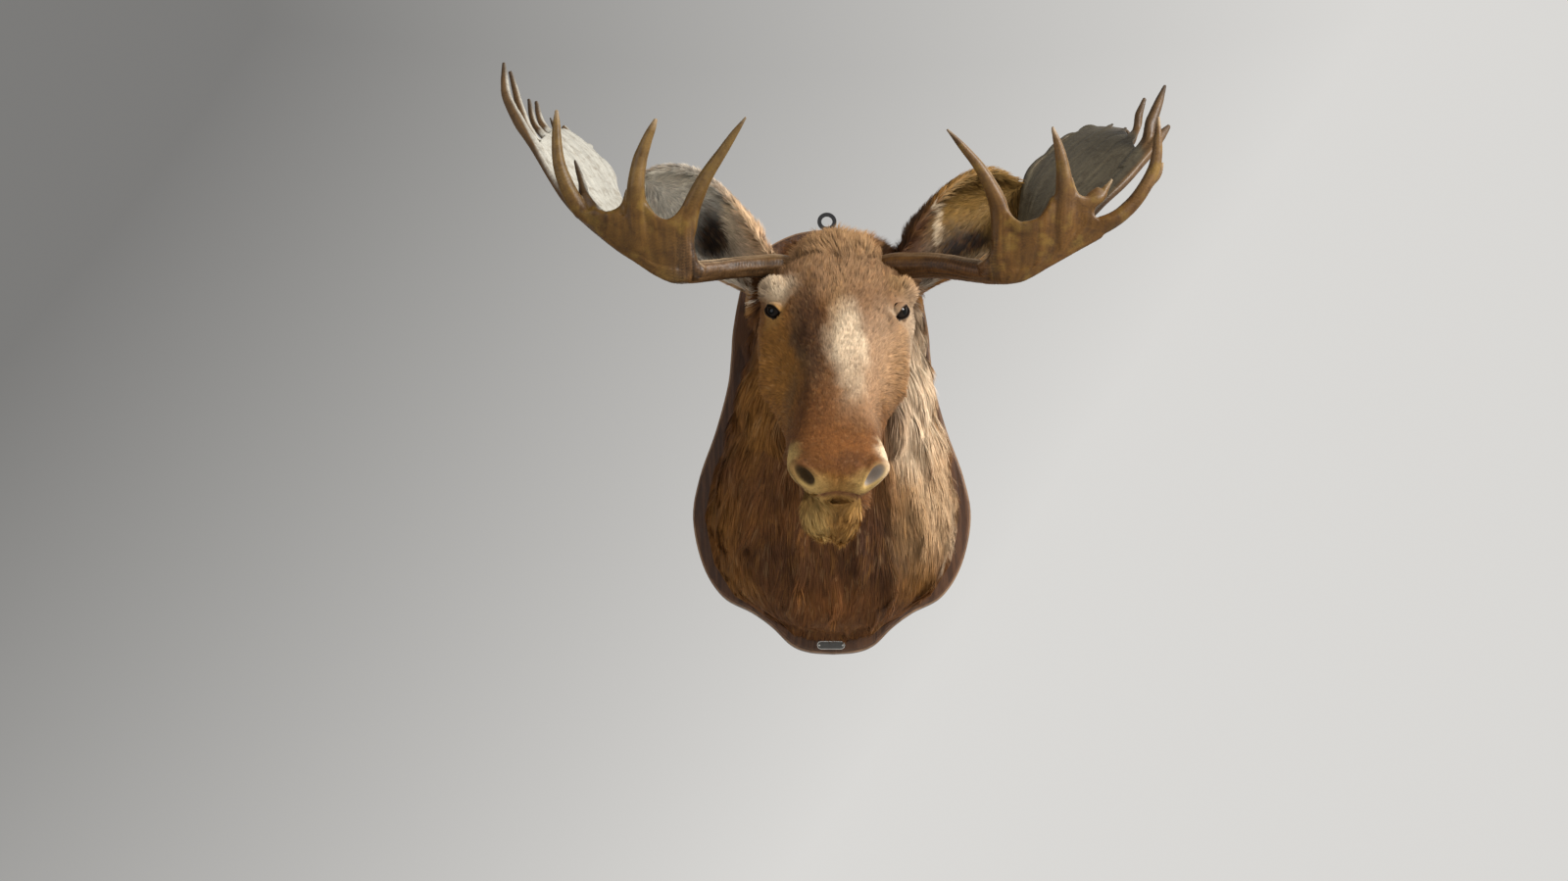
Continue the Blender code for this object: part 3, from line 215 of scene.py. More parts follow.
# The coat's markings, in millimetres and in the order that they are painted: colour, middle, radii and
# strength. The first are placed by x, y and z, and those of the face across, along and into it. Some of them
# are painted light and painted shade, as noted at each.
BODY_MARKINGS = (
    ("dark brown", (0, -220, -330), (240, 200, 100), 0.5),
    ("dark brown", (90, -240, -270), (100, 140, 70), 0.9),
    ("dark brown", (-120, -220, -265), (80, 120, 50), 0.6),
    ("dark brown", (0, -30, -200), (300, 50, 300), 0.3),
    ("gold", (-215, -120, -190), (70, 140, 100), 0.5),
    ("gold", (-205, -100, -310), (60, 100, 50), 0.45),
    ("rust", (0, -220, -370), (80, 120, 50), 0.65),
    ("gold", (170, -150, -320), (60, 100, 50), 0.4),
    ("gold", (-155, -330, 0), (60, 100, 130), 0.7),
    # The next five pale marks on the right of the neck are partly its paler hair and partly painted light
    # from the lamp on the right
    ("bright cream", (185, -250, 60), (85, 220, 190), 0.97),
    ("pale tan", (170, -220, -180), (80, 170, 130), 0.6),
    ("light tan", (210, -190, -130), (60, 170, 140), 0.8),
    ("bright cream", (150, -290, -85), (40, 80, 60), 0.55),
    ("bright cream", (248, -120, -230), (30, 100, 60), 0.75),
    # Painted shadow: a dark strip on the neck behind the beard, where the beard shades it
    ("dark brown", (75, -340, -235), (45, 180, 80), 0.8))
FACE_MARKINGS = (
    ("forehead", (5, 60, 0), (150, 100, 120), 0.85),
    ("forehead", (20, 150, 0), (110, 70, 70), 0.75),
    ("pale tan", (0, 20, 0), (120, 70, 100), 0.5),
    ("gold", (-110, 340, 60), (55, 180, 90), 0.75),
    ("pale tan", (110, 360, 60), (50, 160, 70), 0.42),
    # The next two: the dark band left of the cream streak, partly darker hair and partly painted shade on the
    # side of the nose away from the light
    ("grey brown", (-52, 300, 12), (28, 150, 60), 0.95),
    ("dark brown", (-47, 295, 6), (26, 150, 50), 0.8),
    # Painted shade in the fold under the right eye
    ("grey brown", (92, 230, 25), (24, 60, 50), 0.6),
    # The top of the cream streak down the bridge: partly paler hair, partly painted light on the side of the
    # nose that faces the lamp
    ("pale tan", (10, 262, 5), (26, 90, 50), 0.6),
    ("pink", (75, 360, 20), (65, 160, 70), 0.7),
    # The next two: the cream streak, partly paler hair and partly painted light on the side of the nose that
    # faces the lamp
    ("cream", (20, 350, 12), (40, 120, 60), 0.97),
    ("bright cream", (24, 345, 12), (27, 120, 60), 0.75),
    ("pink tan", (32, 460, 15), (55, 100, 60), 0.7),
    # The low end of the cream streak: partly paler hair, partly painted light
    ("cream", (20, 440, 15), (30, 70, 60), 0.4),
    # The next three: painted shade along the left cheek fold and in a crease low on the right cheek
    ("grey brown", (-68, 340, 20), (13, 50, 40), 0.5),
    ("grey brown", (-88, 430, 35), (12, 80, 50), 0.6),
    ("grey brown", (76, 460, 32), (11, 70, 50), 0.5),
    ("rust", (-30, 545, 10), (65, 70, 60), 0.6),
    ("rust", (5, 630, 12), (68, 70, 50), 0.85),
    ("dark brown", (26, 655, 6), (26, 20, 30), 0.5),
    ("dark brown", (-45, 520, 20), (40, 50, 40), 0.3),
    ("gold", (0, 690, 28), (55, 16, 30), 0.75),
    ("straw", (-88, 630, 40), (24, 60, 50), 0.8),
    ("straw", (-50, 690, 40), (50, 20, 30), 0.75),
    ("straw", (60, 685, 38), (45, 20, 30), 0.75),
    ("straw", (90, 630, 40), (24, 60, 50), 0.9),
    ("bright cream", (84, 632, 30), (26, 52, 36), 1.0),
    ("straw gold", (0, 678, 72), (60, 35, 40), 0.95),
    ("cream", (-108, 158, 12), (40, 34, 50), 0.75),
    ("straw gold", (-118, 215, 30), (30, 40, 40), 0.6),
    ("pale tan", (128, 150, 20), (36, 34, 50), 0.8),
    ("cream", (108, 225, 50), (20, 14, 30), 0.35))

# ---- the antlers
# In millimetres. Strands are round and tapered, as (x, y, z, radius) from root to tip, and sheets are rows of
# (x, y, z).
BEAMS = metres({
    "left": (
        (-88, -315, 270, 21.5), (-118, -325, 270, 24), (-152, -335, 265, 23), (-190, -350, 257, 22.2),
        (-229, -370, 246, 21.3), (-264, -395, 233, 21.8), (-293, -417, 224, 22.8), (-318, -436, 216, 20),
        (-350, -442, 222, 16.5), (-375, -445, 238, 15), (-440, -450, 284, 13), (-500, -455, 334, 13)),
    "right": (
        (92, -315, 270, 23), (122, -325, 270, 26), (153, -335, 267, 25.5), (191, -350, 262, 25),
        (231, -370, 251, 24.2), (272, -395, 235, 22.8), (307, -417, 222, 22), (335, -434, 214, 19.5),
        (362, -441, 216, 16.5), (408, -446, 238, 15), (461, -450, 268, 14), (508, -452, 294, 13))})
BROW_PALMS = metres({
    "left": (
        ((-285, -430, 222), (-318, -440, 215), (-375, -445, 240), (-440, -450, 286), (-503, -452, 332)),
        ((-282, -455, 266), (-321, -462, 256), (-377, -466, 268), (-432, -466, 292), (-493, -466, 322)),
        ((-280, -470, 316), (-326, -476, 300), (-384, -482, 318), (-433, -480, 312), (-490, -475, 340))),
    "right": (
        ((312, -432, 216), (355, -440, 214), (408, -446, 240), (461, -450, 269), (508, -452, 293)),
        ((305, -458, 268), (360, -464, 258), (420, -470, 280), (468, -466, 302), (505, -462, 302)),
        ((308, -475, 316), (358, -480, 296), (425, -488, 330), (474, -480, 340), (500, -470, 312)))})
BROW_TINES = metres({
    "left": (
        ((-301, -452, 236, 10), (-292, -465, 288, 20), (-281, -475, 334, 18.2), (-263, -490, 372, 15.2),
         (-247, -500, 398, 13.2), (-221, -515, 432, 10.8), (-198, -530, 462, 8), (-174, -545, 491, 3)),
        ((-377, -462, 256, 9), (-383, -474, 298, 19), (-386, -485, 330, 20.5), (-385, -505, 370, 16.6),
         (-378, -520, 410, 13.8), (-370, -530, 431, 11.6), (-361, -540, 451, 9.3), (-352, -548, 468, 6.7),
         (-345, -555, 482, 3)),
        ((-430, -456, 290, 11), (-463, -457, 311, 18), (-493, -460, 336, 18.8), (-514, -475, 362, 16),
         (-528, -490, 393, 14), (-535, -500, 418, 12.2), (-538, -510, 446, 10.2), (-539, -520, 482, 7.6),
         (-538, -530, 512, 3))),
    "right": (
        ((322, -452, 236, 10), (316, -466, 290, 19), (309, -480, 338, 17.6), (292, -495, 373, 14),
         (269, -510, 406, 11), (236, -530, 438, 8), (206, -545, 466, 3)),
        ((430, -460, 256, 9), (434, -474, 302, 21), (436, -490, 344, 21), (433, -505, 369, 16.8),
         (428, -520, 402, 12.7), (419, -535, 435, 9.2), (406, -550, 468, 3)),
        ((470, -472, 318, 16), (486, -475, 338, 13), (509, -480, 360, 9.2), (530, -485, 389, 3)),
        ((435, -455, 262, 11), (468, -458, 283, 18.5), (502, -460, 300, 19), (540, -465, 319, 16.1),
         (571, -470, 346, 14.7), (592, -480, 374, 13.6), (609, -490, 407, 12.4), (614, -500, 435, 10.6),
         (615, -510, 465, 8), (616, -520, 502, 3)),
        ((602, -484, 378, 7), (620, -478, 400, 6.8), (635, -462, 433, 3.1)))})
MAIN_PALMS = metres({
    "left": (
        ((-331, -425, 218), (-338, -380, 247), (-344, -335, 280)),
        ((-407, -430, 263), (-408, -355, 318), (-412, -276, 369)),
        ((-476, -425, 322), (-464, -325, 402), (-448, -223, 458)),
        ((-538, -410, 391), (-514, -295, 490), (-482, -166, 555)),
        ((-580, -390, 468), (-560, -275, 560), (-536, -136, 620)),
        ((-606, -375, 513), (-592, -270, 584), (-587, -137, 656))),
    "right": (
        ((364, -425, 218), (368, -380, 248), (370, -330, 282)),
        ((422, -428, 262), (405, -355, 324), (385, -270, 379)),
        ((475, -412, 322), (440, -325, 405), (397, -222, 468)),
        ((518, -400, 372), (482, -290, 477), (427, -175, 540)),
        ((562, -385, 420), (532, -262, 534), (487, -125.5, 613)),
        ((600, -370, 466), (585, -250, 590), (568, -118, 672)),
        ((620, -362, 488), (616, -262, 586), (630, -185, 624)))})
MAIN_TINES = metres({
    "left": (
        ((-345, -428, 226, 16), (-407, -430, 262, 19), (-466, -425, 314, 20), (-517, -415, 366, 19),
         (-558, -400, 424, 16.5), (-590, -385, 485, 14.3), (-613, -375, 523, 12.2),
         (-636, -365, 558, 10.3), (-657, -355, 597, 9), (-672, -345, 632, 8), (-679, -335, 670, 6.4),
         (-684, -325, 714, 3)),
        ((-612, -345, 528, 11), (-632, -330, 572, 9.2), (-650, -315, 622, 7.1), (-663, -305, 667, 5.4),
         (-676, -295, 709, 3)),
        ((-590, -300, 545, 11), (-616, -290, 583, 7.5), (-630, -280, 619, 6), (-639, -270, 659, 3)),
        ((-582, -245, 575, 11), (-608, -240, 606, 7.2), (-623, -230, 642, 5.8), (-632, -220, 677, 3)),
        ((-570, -190, 600, 10), (-594, -188, 631, 6.4), (-607, -180, 661, 3)),
        ((-451, -470, 316, 9.4), (-467, -468, 336, 8.7), (-482, -462, 362, 7.6), (-493, -455, 387, 6.7),
         (-504, -447, 419, 5.2), (-514, -440, 448, 2.3))),
    "right": (
        ((372, -428, 222, 16), (416, -424, 264, 19), (468, -412, 322, 19), (518, -400, 374, 16.5),
         (568, -385, 426, 14.5), (607, -370, 470, 12.6), (642, -355, 513, 10.5), (664, -345, 541, 8),
         (686, -335, 568, 3)),
        ((585, -362, 460, 14), (620, -350, 515, 11.9), (645, -340, 567, 10.2), (668, -330, 620, 7.8),
         (687, -320, 666, 3)),
        ((580, -300, 512, 12.5), (610, -292, 546, 10.5), (628, -284, 590, 8.2), (642, -276, 625, 6),
         (656, -270, 660, 3)),
        ((570, -240, 560, 11), (596, -238, 580, 8.5), (615, -234, 604, 5.8), (626, -230, 632, 3)),
        ((550, -200, 590, 11), (582, -198, 618, 9), (608, -190, 661, 3)))})
# Webs that round the valleys between the tines, and the lobed rims of the main palms
WEBS = metres({
    "left": (
        ((-472, -474, 333, 7.5), (-461, -474, 323, 11.3), (-444, -474, 314, 13.2),
         (-425, -476, 319, 12.2), (-408, -480, 335, 9.4), (-401, -492, 364, 5.6)),
        ((-280, -478, 341, 6.6), (-284, -472, 316, 9.4), (-287, -464, 283, 12.3), (-287, -452, 253, 14.2),
         (-281, -436, 231, 15.2), (-262, -420, 221, 13.3)),
        ((-377, -500, 374, 5.6), (-377, -490, 347, 9.4), (-367, -484, 323, 12.2), (-350, -480, 304, 13.1),
         (-327, -478, 296, 13.1), (-307, -478, 307, 12.2), (-295, -480, 326, 9.4), (-286, -484, 349, 5.6))),
    "right": (
        ((299, -480, 340, 6.6), (305, -474, 315, 9.4), (308, -466, 282, 12.2), (310, -454, 254, 14.2),
         (301, -438, 236, 15.2), (282, -420, 227, 15.2)),
        ((320, -482, 336, 5.6), (329, -479, 308, 11.3), (347, -479, 292, 13.1), (369, -480, 290, 13.1),
         (390, -482, 299, 13.1), (407, -486, 323, 11.3), (415, -492, 351, 5.6)),
        ((444, -505, 384, 5.6), (449, -492, 363, 9.4), (457, -488, 346, 12.2), (477, -484, 339, 13.2),
         (494, -482, 346, 13.2), (508, -480, 357, 11.3), (519, -483, 376, 5.7)),
        ((507, -482, 368, 9.4), (488, -478, 350, 13.2), (480, -472, 330, 14.2), (489, -468, 306, 14.1),
         (516, -464, 303, 12.3), (537, -464, 316, 7.6)))})
PALM_RIMS = metres({
    "left": (
        ((-451, -240, 409, 7), (-452, -225, 447, 7), (-458, -208, 475, 7), (-466, -184, 513, 7.5),
         (-475, -167, 541, 7.8), (-489, -157, 562, 7.8), (-500, -150, 573, 7), (-513, -147, 567, 7.4),
         (-523, -140, 587, 7.4), (-526, -134, 613, 6.6), (-541, -131, 612, 7.4), (-558, -128, 626, 7.4),
         (-572, -127, 644, 7), (-588, -128, 662, 6)),),
    "right": (
        ((384, -262, 371, 7), (390, -259, 406, 7.2), (405, -217, 476, 7.8), (419, -190, 535, 8),
         (441, -171, 569, 8), (465, -157, 586, 7.2), (483, -144, 619, 7.8), (506, -135, 639, 8),
         (522, -128, 647, 7.8), (538, -125, 638, 7.4), (555, -120, 657, 8), (566, -128, 665, 7.8),
         (580, -143, 647, 7.4), (588, -161, 636, 7.2), (601, -175, 638, 7.2), (617, -178, 633, 7.2),
         (630, -180, 630, 7.2), (638, -190, 614, 7)),)})
# How much thicker the main tines are made, where their radius is less than that of their roots
TINE_GIRTH, TINE_ROOT = {"left": 1.22, "right": 1.28}, 0.0155
BEAM_PART, BROW_PART, MAIN_PART = range(3)      # the parts of an antler
# How far beyond a palm its tines are flattened, and how much of what stands proud is kept
PRESS_REACH, BROW_PRESS, MAIN_PRESS = 0.060, 0.30, 0.25
ANTLER_SMOOTHING, ANTLER_MELTING = 2, 8         # rounds of smoothing on all of it, and on the palms again
GROOVES_ELSEWHERE = 0.37        # depth of the grooves outside the beams, against those in them
STREAK_TONES = (0.22, 0.09, 0.05)       # of the beams' fine grain, of all fine grain and of broad grain
SHEEN_AND_WEAR_WAY = {"left": (0.15, -0.15, 0.97), "right": (0.72, -0.15, 0.67)}      # where the pale edges face: towards the light, as painted highlight, and rubbed as wear

# ---- the shield
SHIELD_PROFILE = ((0.0003, 0.00725), (0.003, 0.0003), (0.0043, 0.00695))    # insets of the moulded edge
SHARP_ANGLE = math.radians(35)
LEDGE, LEDGE_BLUR = (-0.0183, -0.0172), 0.0008  # depths between which the moulded edge has its flat ledge
# Half of the shield's outline, from the top round to the bottom, in millimetres: (x, z)
SHIELD_HALF = metres((
    (0, 466), (77, 454), (141, 420), (185, 369), (202, 310), (215.5, 226), (219, 168), (226, 100),
    (251, 0), (284, -100), (297.5, -190), (275.5, -290), (232, -358), (170, -392), (128, -422),
    (88, -460), (50, -475), (0, -479)))


# ---- curves and numbers
def at(points, position):
    """Return the smooth curve through the points at a position, which counts points from the first."""
    last = len(points) - 1
    index = min(int(position), last - 1)
    t = position - index
    b, c = Vector(points[index]), Vector(points[index + 1])
    a = Vector(points[index - 1]) if index else 2 * b - c
    d = Vector(points[index + 2]) if index + 2 <= last else 2 * c - b
    return 0.5 * (2 * b + (c - a) * t + (2 * a - 5 * b + 4 * c - d) * t ** 2 + (3 * (b - c) + d - a) * t ** 3)


def smooth_line(points, steps):
    """Return the points of the smooth curve, with the given number of steps between each two."""
    return [at(points, k / steps) for k in range((len(points) - 1) * steps + 1)]


def lookup(table, x):
    """Read a table of (x, y) rows that rise in x, with straight lines between them."""
    for (x0, y0), (x1, y1) in zip(table, table[1:]):
        if x <= x1:
            return y0 + (y1 - y0) * (x - x0) / (x1 - x0)
    return table[-1][1]


def ramp(values, low, high):
    """Return 0 below low, 1 above high, and a soft step between them."""
    share = np.clip((values - low) / (high - low), 0.0, 1.0)
    return share * share * (3.0 - 2.0 * share)


def bell(values, middle, width):
    """Return 1 at the middle, and less and less on both sides of it."""
    return np.exp(-((values - middle) / width) ** 2)


def unit(vectors):
    """Scale each row of an array of vectors to length one."""
    return vectors / np.maximum(np.linalg.norm(vectors, axis=-1, keepdims=True), 1e-9)


def laid_flat(ways, normals):
    """Turn each way along the surface, at length one."""
    return unit(ways - normals * np.sum(ways * normals, axis=1)[:, None])


def distances(places, centre):
    """Return how far each place is from a centre."""
    return np.linalg.norm(places - np.array(centre), axis=1)


def nearest_of(spots, places):
    """Return for each place the number of the nearest spot."""
    tree = KDTree(len(spots))
    for index, spot in enumerate(spots):
        tree.insert(spot, index)
    tree.balance()
    return np.array([tree.find(place)[1] for place in places])


def soft_noise(places, scale, seed=0):
    """Return smooth random values from -1 to 1 that change over 1 / scale metres."""
    grid = places * scale + 500.0
    cell = np.floor(grid).astype(np.int64)
    share = grid - cell
    share = share * share * (3.0 - 2.0 * share)
    total = np.zeros(len(places))
    # The large primes turn the numbers of each cell's corner into a number that looks random
    for corner in itertools.product((0, 1), repeat=3):
        key = (cell + corner) @ np.array((73856093, 19349663, 83492791)) + seed * 15485863
        key = (key ^ (key >> 13)) * 1274126177 & 0x7FFFFFFF
        key = (key ^ (key >> 11)) * 668265263 & 0x7FFFFFFF
        weight = np.prod(np.where(np.array(corner), share, 1.0 - share), axis=1)
        total += weight * (key / 0x3FFFFFFF - 1.0)
    return total


def painted(colours, shade, share):
    """Lay a shade over the colours, by its share at each place."""
    return colours * (1 - share[:, None]) + shade * share[:, None]


def settings(name):
    """Return one of the scene's groups of settings."""
    return getattr(bpy.context.scene, "moose_" + name)


def coat_shade(name):
    """Return one of the coat's colours."""
    return np.array(getattr(settings("coat"), name.replace(" ", "_")))


def bone_shade(name):
    """Return one of the antlers' colours."""
    return np.array(getattr(settings("antlers"), name.replace(" ", "_")))


# ---- meshes
def link(name, data):
    """Put new data in the scene as an object."""
    obj = bpy.data.objects.new(name, data)
    bpy.context.scene.collection.objects.link(obj)
    return obj


def mesh_object(name, bm):
    """Close a bmesh into a named object whose faces point outwards."""
    bmesh.ops.recalc_face_normals(bm, faces=bm.faces)
    mesh = bpy.data.meshes.new(name)
    bm.to_mesh(mesh)
    bm.free()
    return link(name, mesh)


@contextlib.contextmanager
def editing(obj):
    """Open an object's mesh as a bmesh, and write it back at the end."""
    bm = bmesh.new()
    bm.from_mesh(obj.data)
    yield bm
    bm.to_mesh(obj.data)
    bm.free()


def baked(obj):
    """Put the object's evaluated mesh in its place, at the origin, and drop its modifiers."""
    bpy.context.view_layer.update()
    evaluated = obj.evaluated_get(bpy.context.evaluated_depsgraph_get())
    mesh = bpy.data.meshes.new_from_object(evaluated)
    mesh.transform(obj.matrix_world)
    name = obj.name
    bpy.data.objects.remove(obj)
    mesh.name = name
    return link(name, mesh)


def positions(mesh):
    """Return the mesh's vertices as an array."""
    flat = np.empty(3 * len(mesh.vertices))
    mesh.vertices.foreach_get("co", flat)
    return flat.reshape(-1, 3)


def vertex_normals(mesh):
    """Return the directions that the mesh's vertices face as an array."""
    flat = np.empty(3 * len(mesh.vertices), dtype=np.float32)
    mesh.vertex_normals.foreach_get("vector", flat)
    return flat.reshape(-1, 3).astype(float)


def edge_pairs(mesh):
    """Return the numbers of the two vertices of each edge as an array."""
    flat = np.empty(2 * len(mesh.edges), dtype=np.int32)
    mesh.edges.foreach_get("vertices", flat)
    return flat.reshape(-1, 2)


def move_to(mesh, places):
    """Put the mesh's vertices at the places of an array."""
    mesh.vertices.foreach_set("co", places.ravel())
    mesh.update()


def store_colours(mesh, name, colours):
    """Store a colour for each vertex, for the material to read."""
    layer = mesh.attributes.new(name, "FLOAT_COLOR", "POINT")
    opaque = np.hstack([colours, np.ones((len(colours), 1))])
    layer.data.foreach_set("color", opaque.astype(np.float32).ravel())


def soften(values, edges, share, rounds):
    """Draw each vertex's value towards the mean of its neighbours', by a share of the way, over and over."""
    count = np.bincount(edges.ravel(), minlength=len(values)).astype(float)
    for _ in range(rounds):
        total = np.zeros_like(values)
        for column in range(values.shape[1]):
            total[:, column] = (
                np.bincount(edges[:, 0], values[edges[:, 1], column], len(values))
                + np.bincount(edges[:, 1], values[edges[:, 0], column], len(values)))
        mean = total / np.maximum(count, 1.0)[:, None]
        values = values + (mean - values) * np.reshape(share, (-1, 1))
    return values


def dress(obj, material):
    """Give an object its one material."""
    obj.data.materials.clear()
    obj.data.materials.append(material)


def finish_piece(obj, body, slot, material, *nodes):
    """Ride a piece on its body, give it its material, and hide the nodes that it stands for; its slot is not
    used.
    """
    dress(obj, material)
    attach(obj, body)
    if nodes:
        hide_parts(*nodes)


def ring_loft(name, rings):
    """Skin a row of rings of equal count, and close its ends flat."""
    bm = bmesh.new()
    loops = []
    for ring in rings:
        verts = [bm.verts.new(point) for point in ring]
        loops.append([bm.edges.new(pair) for pair in zip(verts, verts[1:] + verts[:1])])
    for first, second in zip(loops, loops[1:]):
        bmesh.ops.bridge_loops(bm, edges=first + second)
    for end in (loops[0], loops[-1]):
        bmesh.ops.contextual_create(bm, geom=end)
    return mesh_object(name, bm)


def tubes(name, strands, steps=4, roundness=3):
    """Make closed, tapered round tubes along strands of (x, y, z, radius)."""
    curve = bpy.data.curves.new(name, "CURVE")
    curve.dimensions = "3D"
    curve.bevel_depth = 1.0
    curve.bevel_resolution = roundness
    curve.use_fill_caps = True
    for strand in strands:
        line = smooth_line(strand, steps)
        spline = curve.splines.new("POLY")
        spline.points.add(len(line) - 1)
        for point, (x, y, z, radius) in zip(spline.points, line):
            point.co = (x, y, z, 1.0)
            point.radius = radius
    return link(name, curve)


def sheet(name, rows, thickness, fine=3):
    """Make a curved plate of even thickness from a coarse net of points, or its bare middle for none."""
    across, down = len(rows[0]), len(rows)
    bm = bmesh.new()
    grid = bmesh.ops.create_grid(bm, x_segments=across - 1, y_segments=down - 1, size=1.0)["verts"]
    grid.sort(key=lambda vert: (round(vert.co.y, 3), round(vert.co.x, 3)))
    for vert, point in zip(grid, (point for row in rows for point in row)):
        vert.co = point
    obj = mesh_object(name, bm)
    rounding = obj.modifiers.new("Round", "SUBSURF")
    rounding.levels = rounding.render_levels = fine
    if thickness:
        shell = obj.modifiers.new("Thickness", "SOLIDIFY")
        shell.thickness = thickness
        shell.offset = 0.0
    return obj


def ball(name, centre, radii, turn=0.0, fine=24):
    """Make an ellipsoid, turned about X by an angle in radians."""
    bm = bmesh.new()
    place = Matrix.Translation(centre) @ Matrix.Rotation(turn, 4, "X") @ Matrix.Diagonal((*radii, 1.0))
    bmesh.ops.create_uvsphere(bm, u_segments=2 * fine, v_segments=fine, radius=1.0, matrix=place)
    return mesh_object(name, bm)


def fused(name, pieces, voxel, smoothing):
    """Grow overlapping pieces into one skin of even squares, and smooth it."""
    bpy.context.view_layer.update()
    graph = bpy.context.evaluated_depsgraph_get()
    bm = bmesh.new()
    for piece in pieces:
        mesh = bpy.data.meshes.new_from_object(piece.evaluated_get(graph))
        bm.from_mesh(mesh)
        bpy.data.meshes.remove(mesh)
        bpy.data.objects.remove(piece)
    bmesh.ops.remove_doubles(bm, verts=bm.verts, dist=WELD)
    obj = mesh_object(name, bm)
    skin = obj.modifiers.new("Skin", "REMESH")
    skin.mode = "VOXEL"
    skin.voxel_size = voxel
    soft = obj.modifiers.new("Soften", "SMOOTH")
    soft.factor = 0.5
    soft.iterations = smoothing
    return baked(obj)


def cut_all(obj, cutters):
    """Cut closed pieces out of an object."""
    for cutter in cutters:
        modifier = obj.modifiers.new("Cut " + cutter.name, "BOOLEAN")
        modifier.object = cutter
        modifier.solver = "EXACT"
    obj = baked(obj)
    for cutter in cutters:
        bpy.data.objects.remove(cutter)
    return obj


# ---- materials
class Sock:
    """A shader socket that works in Python expressions: each operation adds its Math node."""

    def __init__(self, finish, socket):
        """Wrap a socket of a finish."""
        self.finish, self.socket = finish, socket

    def __add__(self, other):
        return self.finish.math("ADD", self, other)

    def __sub__(self, other):
        return self.finish.math("SUBTRACT", self, other)

    def __rsub__(self, other):
        return self.finish.math("SUBTRACT", other, self)

    def __mul__(self, other):
        return self.finish.math("MULTIPLY", self, other)

    def __truediv__(self, other):
        return self.finish.math("DIVIDE", self, other)

    def __rtruediv__(self, other):
        return self.finish.math("DIVIDE", other, self)

    __radd__, __rmul__ = __add__, __mul__

    def between(self, low, high):
        """Return the value, kept between low and high."""
        return self.finish.math("MINIMUM", self.finish.math("MAXIMUM", self, low), high)

    def step(self, low, high):
        """Return 0 below low and 1 above high, with a soft step between them."""
        return self.finish.node(
            "ShaderNodeMapRange", {"interpolation_type": "SMOOTHSTEP"}, {0: self, 1: low, 2: high})


class Finish:
    """A finish under construction: a material's nodes with its surface shader, or another tree's."""

    def __init__(self, name, tree=None, surface=None):
        """Take the given tree, or that of a new material."""
        if tree is None:
            self.material = bpy.data.materials.new(name)
            self.material.use_nodes = True
            tree = self.material.node_tree
            surface = tree.nodes["Principled BSDF"]
        self.tree, self.surface = tree, surface

    def node(self, kind, choices, sockets, output=0):
        """Add a node of any kind: its choices first, then the values or links of its sockets."""
        node = self.tree.nodes.new(kind)
        for name, value in choices.items():
            setattr(node, name, value)
        for key, value in sockets.items():
            self.feed(node.inputs[key], value)
        return Sock(self, node.outputs[output])

    def feed(self, socket, value):
        """Link a socket, or set its value."""
        if isinstance(value, Sock):
            self.tree.links.new(value.socket, socket)
        elif socket.type == "RGBA":
            socket.default_value = (*value, 1.0)
        else:
            socket.default_value = value

    def surface_is(self, **sockets):
        """Feed the surface shader's sockets, named with _ for a space."""
        for name, value in sockets.items():
            self.feed(self.surface.inputs[name.replace("_", " ")], value)
        return getattr(self, "material", None)

    def math(self, operation, *values):
        """Add a Math node."""
        return self.node("ShaderNodeMath", {"operation": operation}, dict(enumerate(values)))

    def place(self, stretch=None):
        """Return the Object coordinates, stretched where that is given."""
        where = self.node("ShaderNodeTexCoord", {}, {}, "Object")
        if stretch is None:
            return where
        return self.node("ShaderNodeMapping", {}, {"Vector": where, "Scale": stretch})

    def axis(self, vector, number):
        """Return one axis of a vector: 0 across, 1 into the wall or 2 up."""
        return self.node("ShaderNodeSeparateXYZ", {}, {0: vector}, number)

    def noise(self, where, scale, detail=3.0, roughness=0.55, distortion=0.0):
        """Return a cloudy pattern from 0 to 1, of scale spots to the metre."""
        return self.node("ShaderNodeTexNoise", {}, {
            "Vector": where, "Scale": scale, "Detail": detail, "Roughness": roughness,
            "Distortion": distortion})

    def mix(self, share, first, second, blend="MIX"):
        """Mix two colours."""
        return self.node(
            "ShaderNodeMix", {"data_type": "RGBA", "blend_type": blend},
            {"Factor": share, 6: first, 7: second}, 2)

    def stored(self, name):
        """Return the colours stored in the piece's own mesh."""
        return self.node("ShaderNodeAttribute", {"attribute_name": name}, {}, "Color")

    def bump(self, height, depth, strength):
        """Return the normals of a height pattern that is depth metres deep."""
        return self.node(
            "ShaderNodeBump", {}, {"Height": height, "Distance": depth, "Strength": strength})


# ---- the head's form
def face_point(x, along, down):
    """Return the place of a point given across, along and into the face."""
    return Vector(POLL + ALONG * along + DOWN * down) + Vector((x + FACE_TURN * along, 0.0, 0.0))


def face_places(places):
    """Return how far each place is across, along and into the face."""
    offset = places - POLL
    along = offset @ ALONG
    return offset[:, 0] - FACE_TURN * along, along, offset @ DOWN


def squared(angle, square):
    """Return the (side, up) unit point of a rounded square at an angle from straight up."""
    side, up = math.sin(angle), math.cos(angle)
    return math.copysign(abs(side) ** (2 / square), side), math.copysign(abs(up) ** (2 / square), up)


def face_ring(station, count=72):
    """Return one section across the face or the jaw."""
    along, top, widest, bottom, half = station
    ring = []
    for k in range(count):
        angle = 2 * math.pi * k / count
        upper = math.cos(angle) >= 0
        side, up = squared(angle, TOP_SQUARE if upper else BOTTOM_SQUARE)
        reach = widest - top if upper else bottom - widest
        ring.append(face_point(half * side, along, widest - up * reach))
    return ring


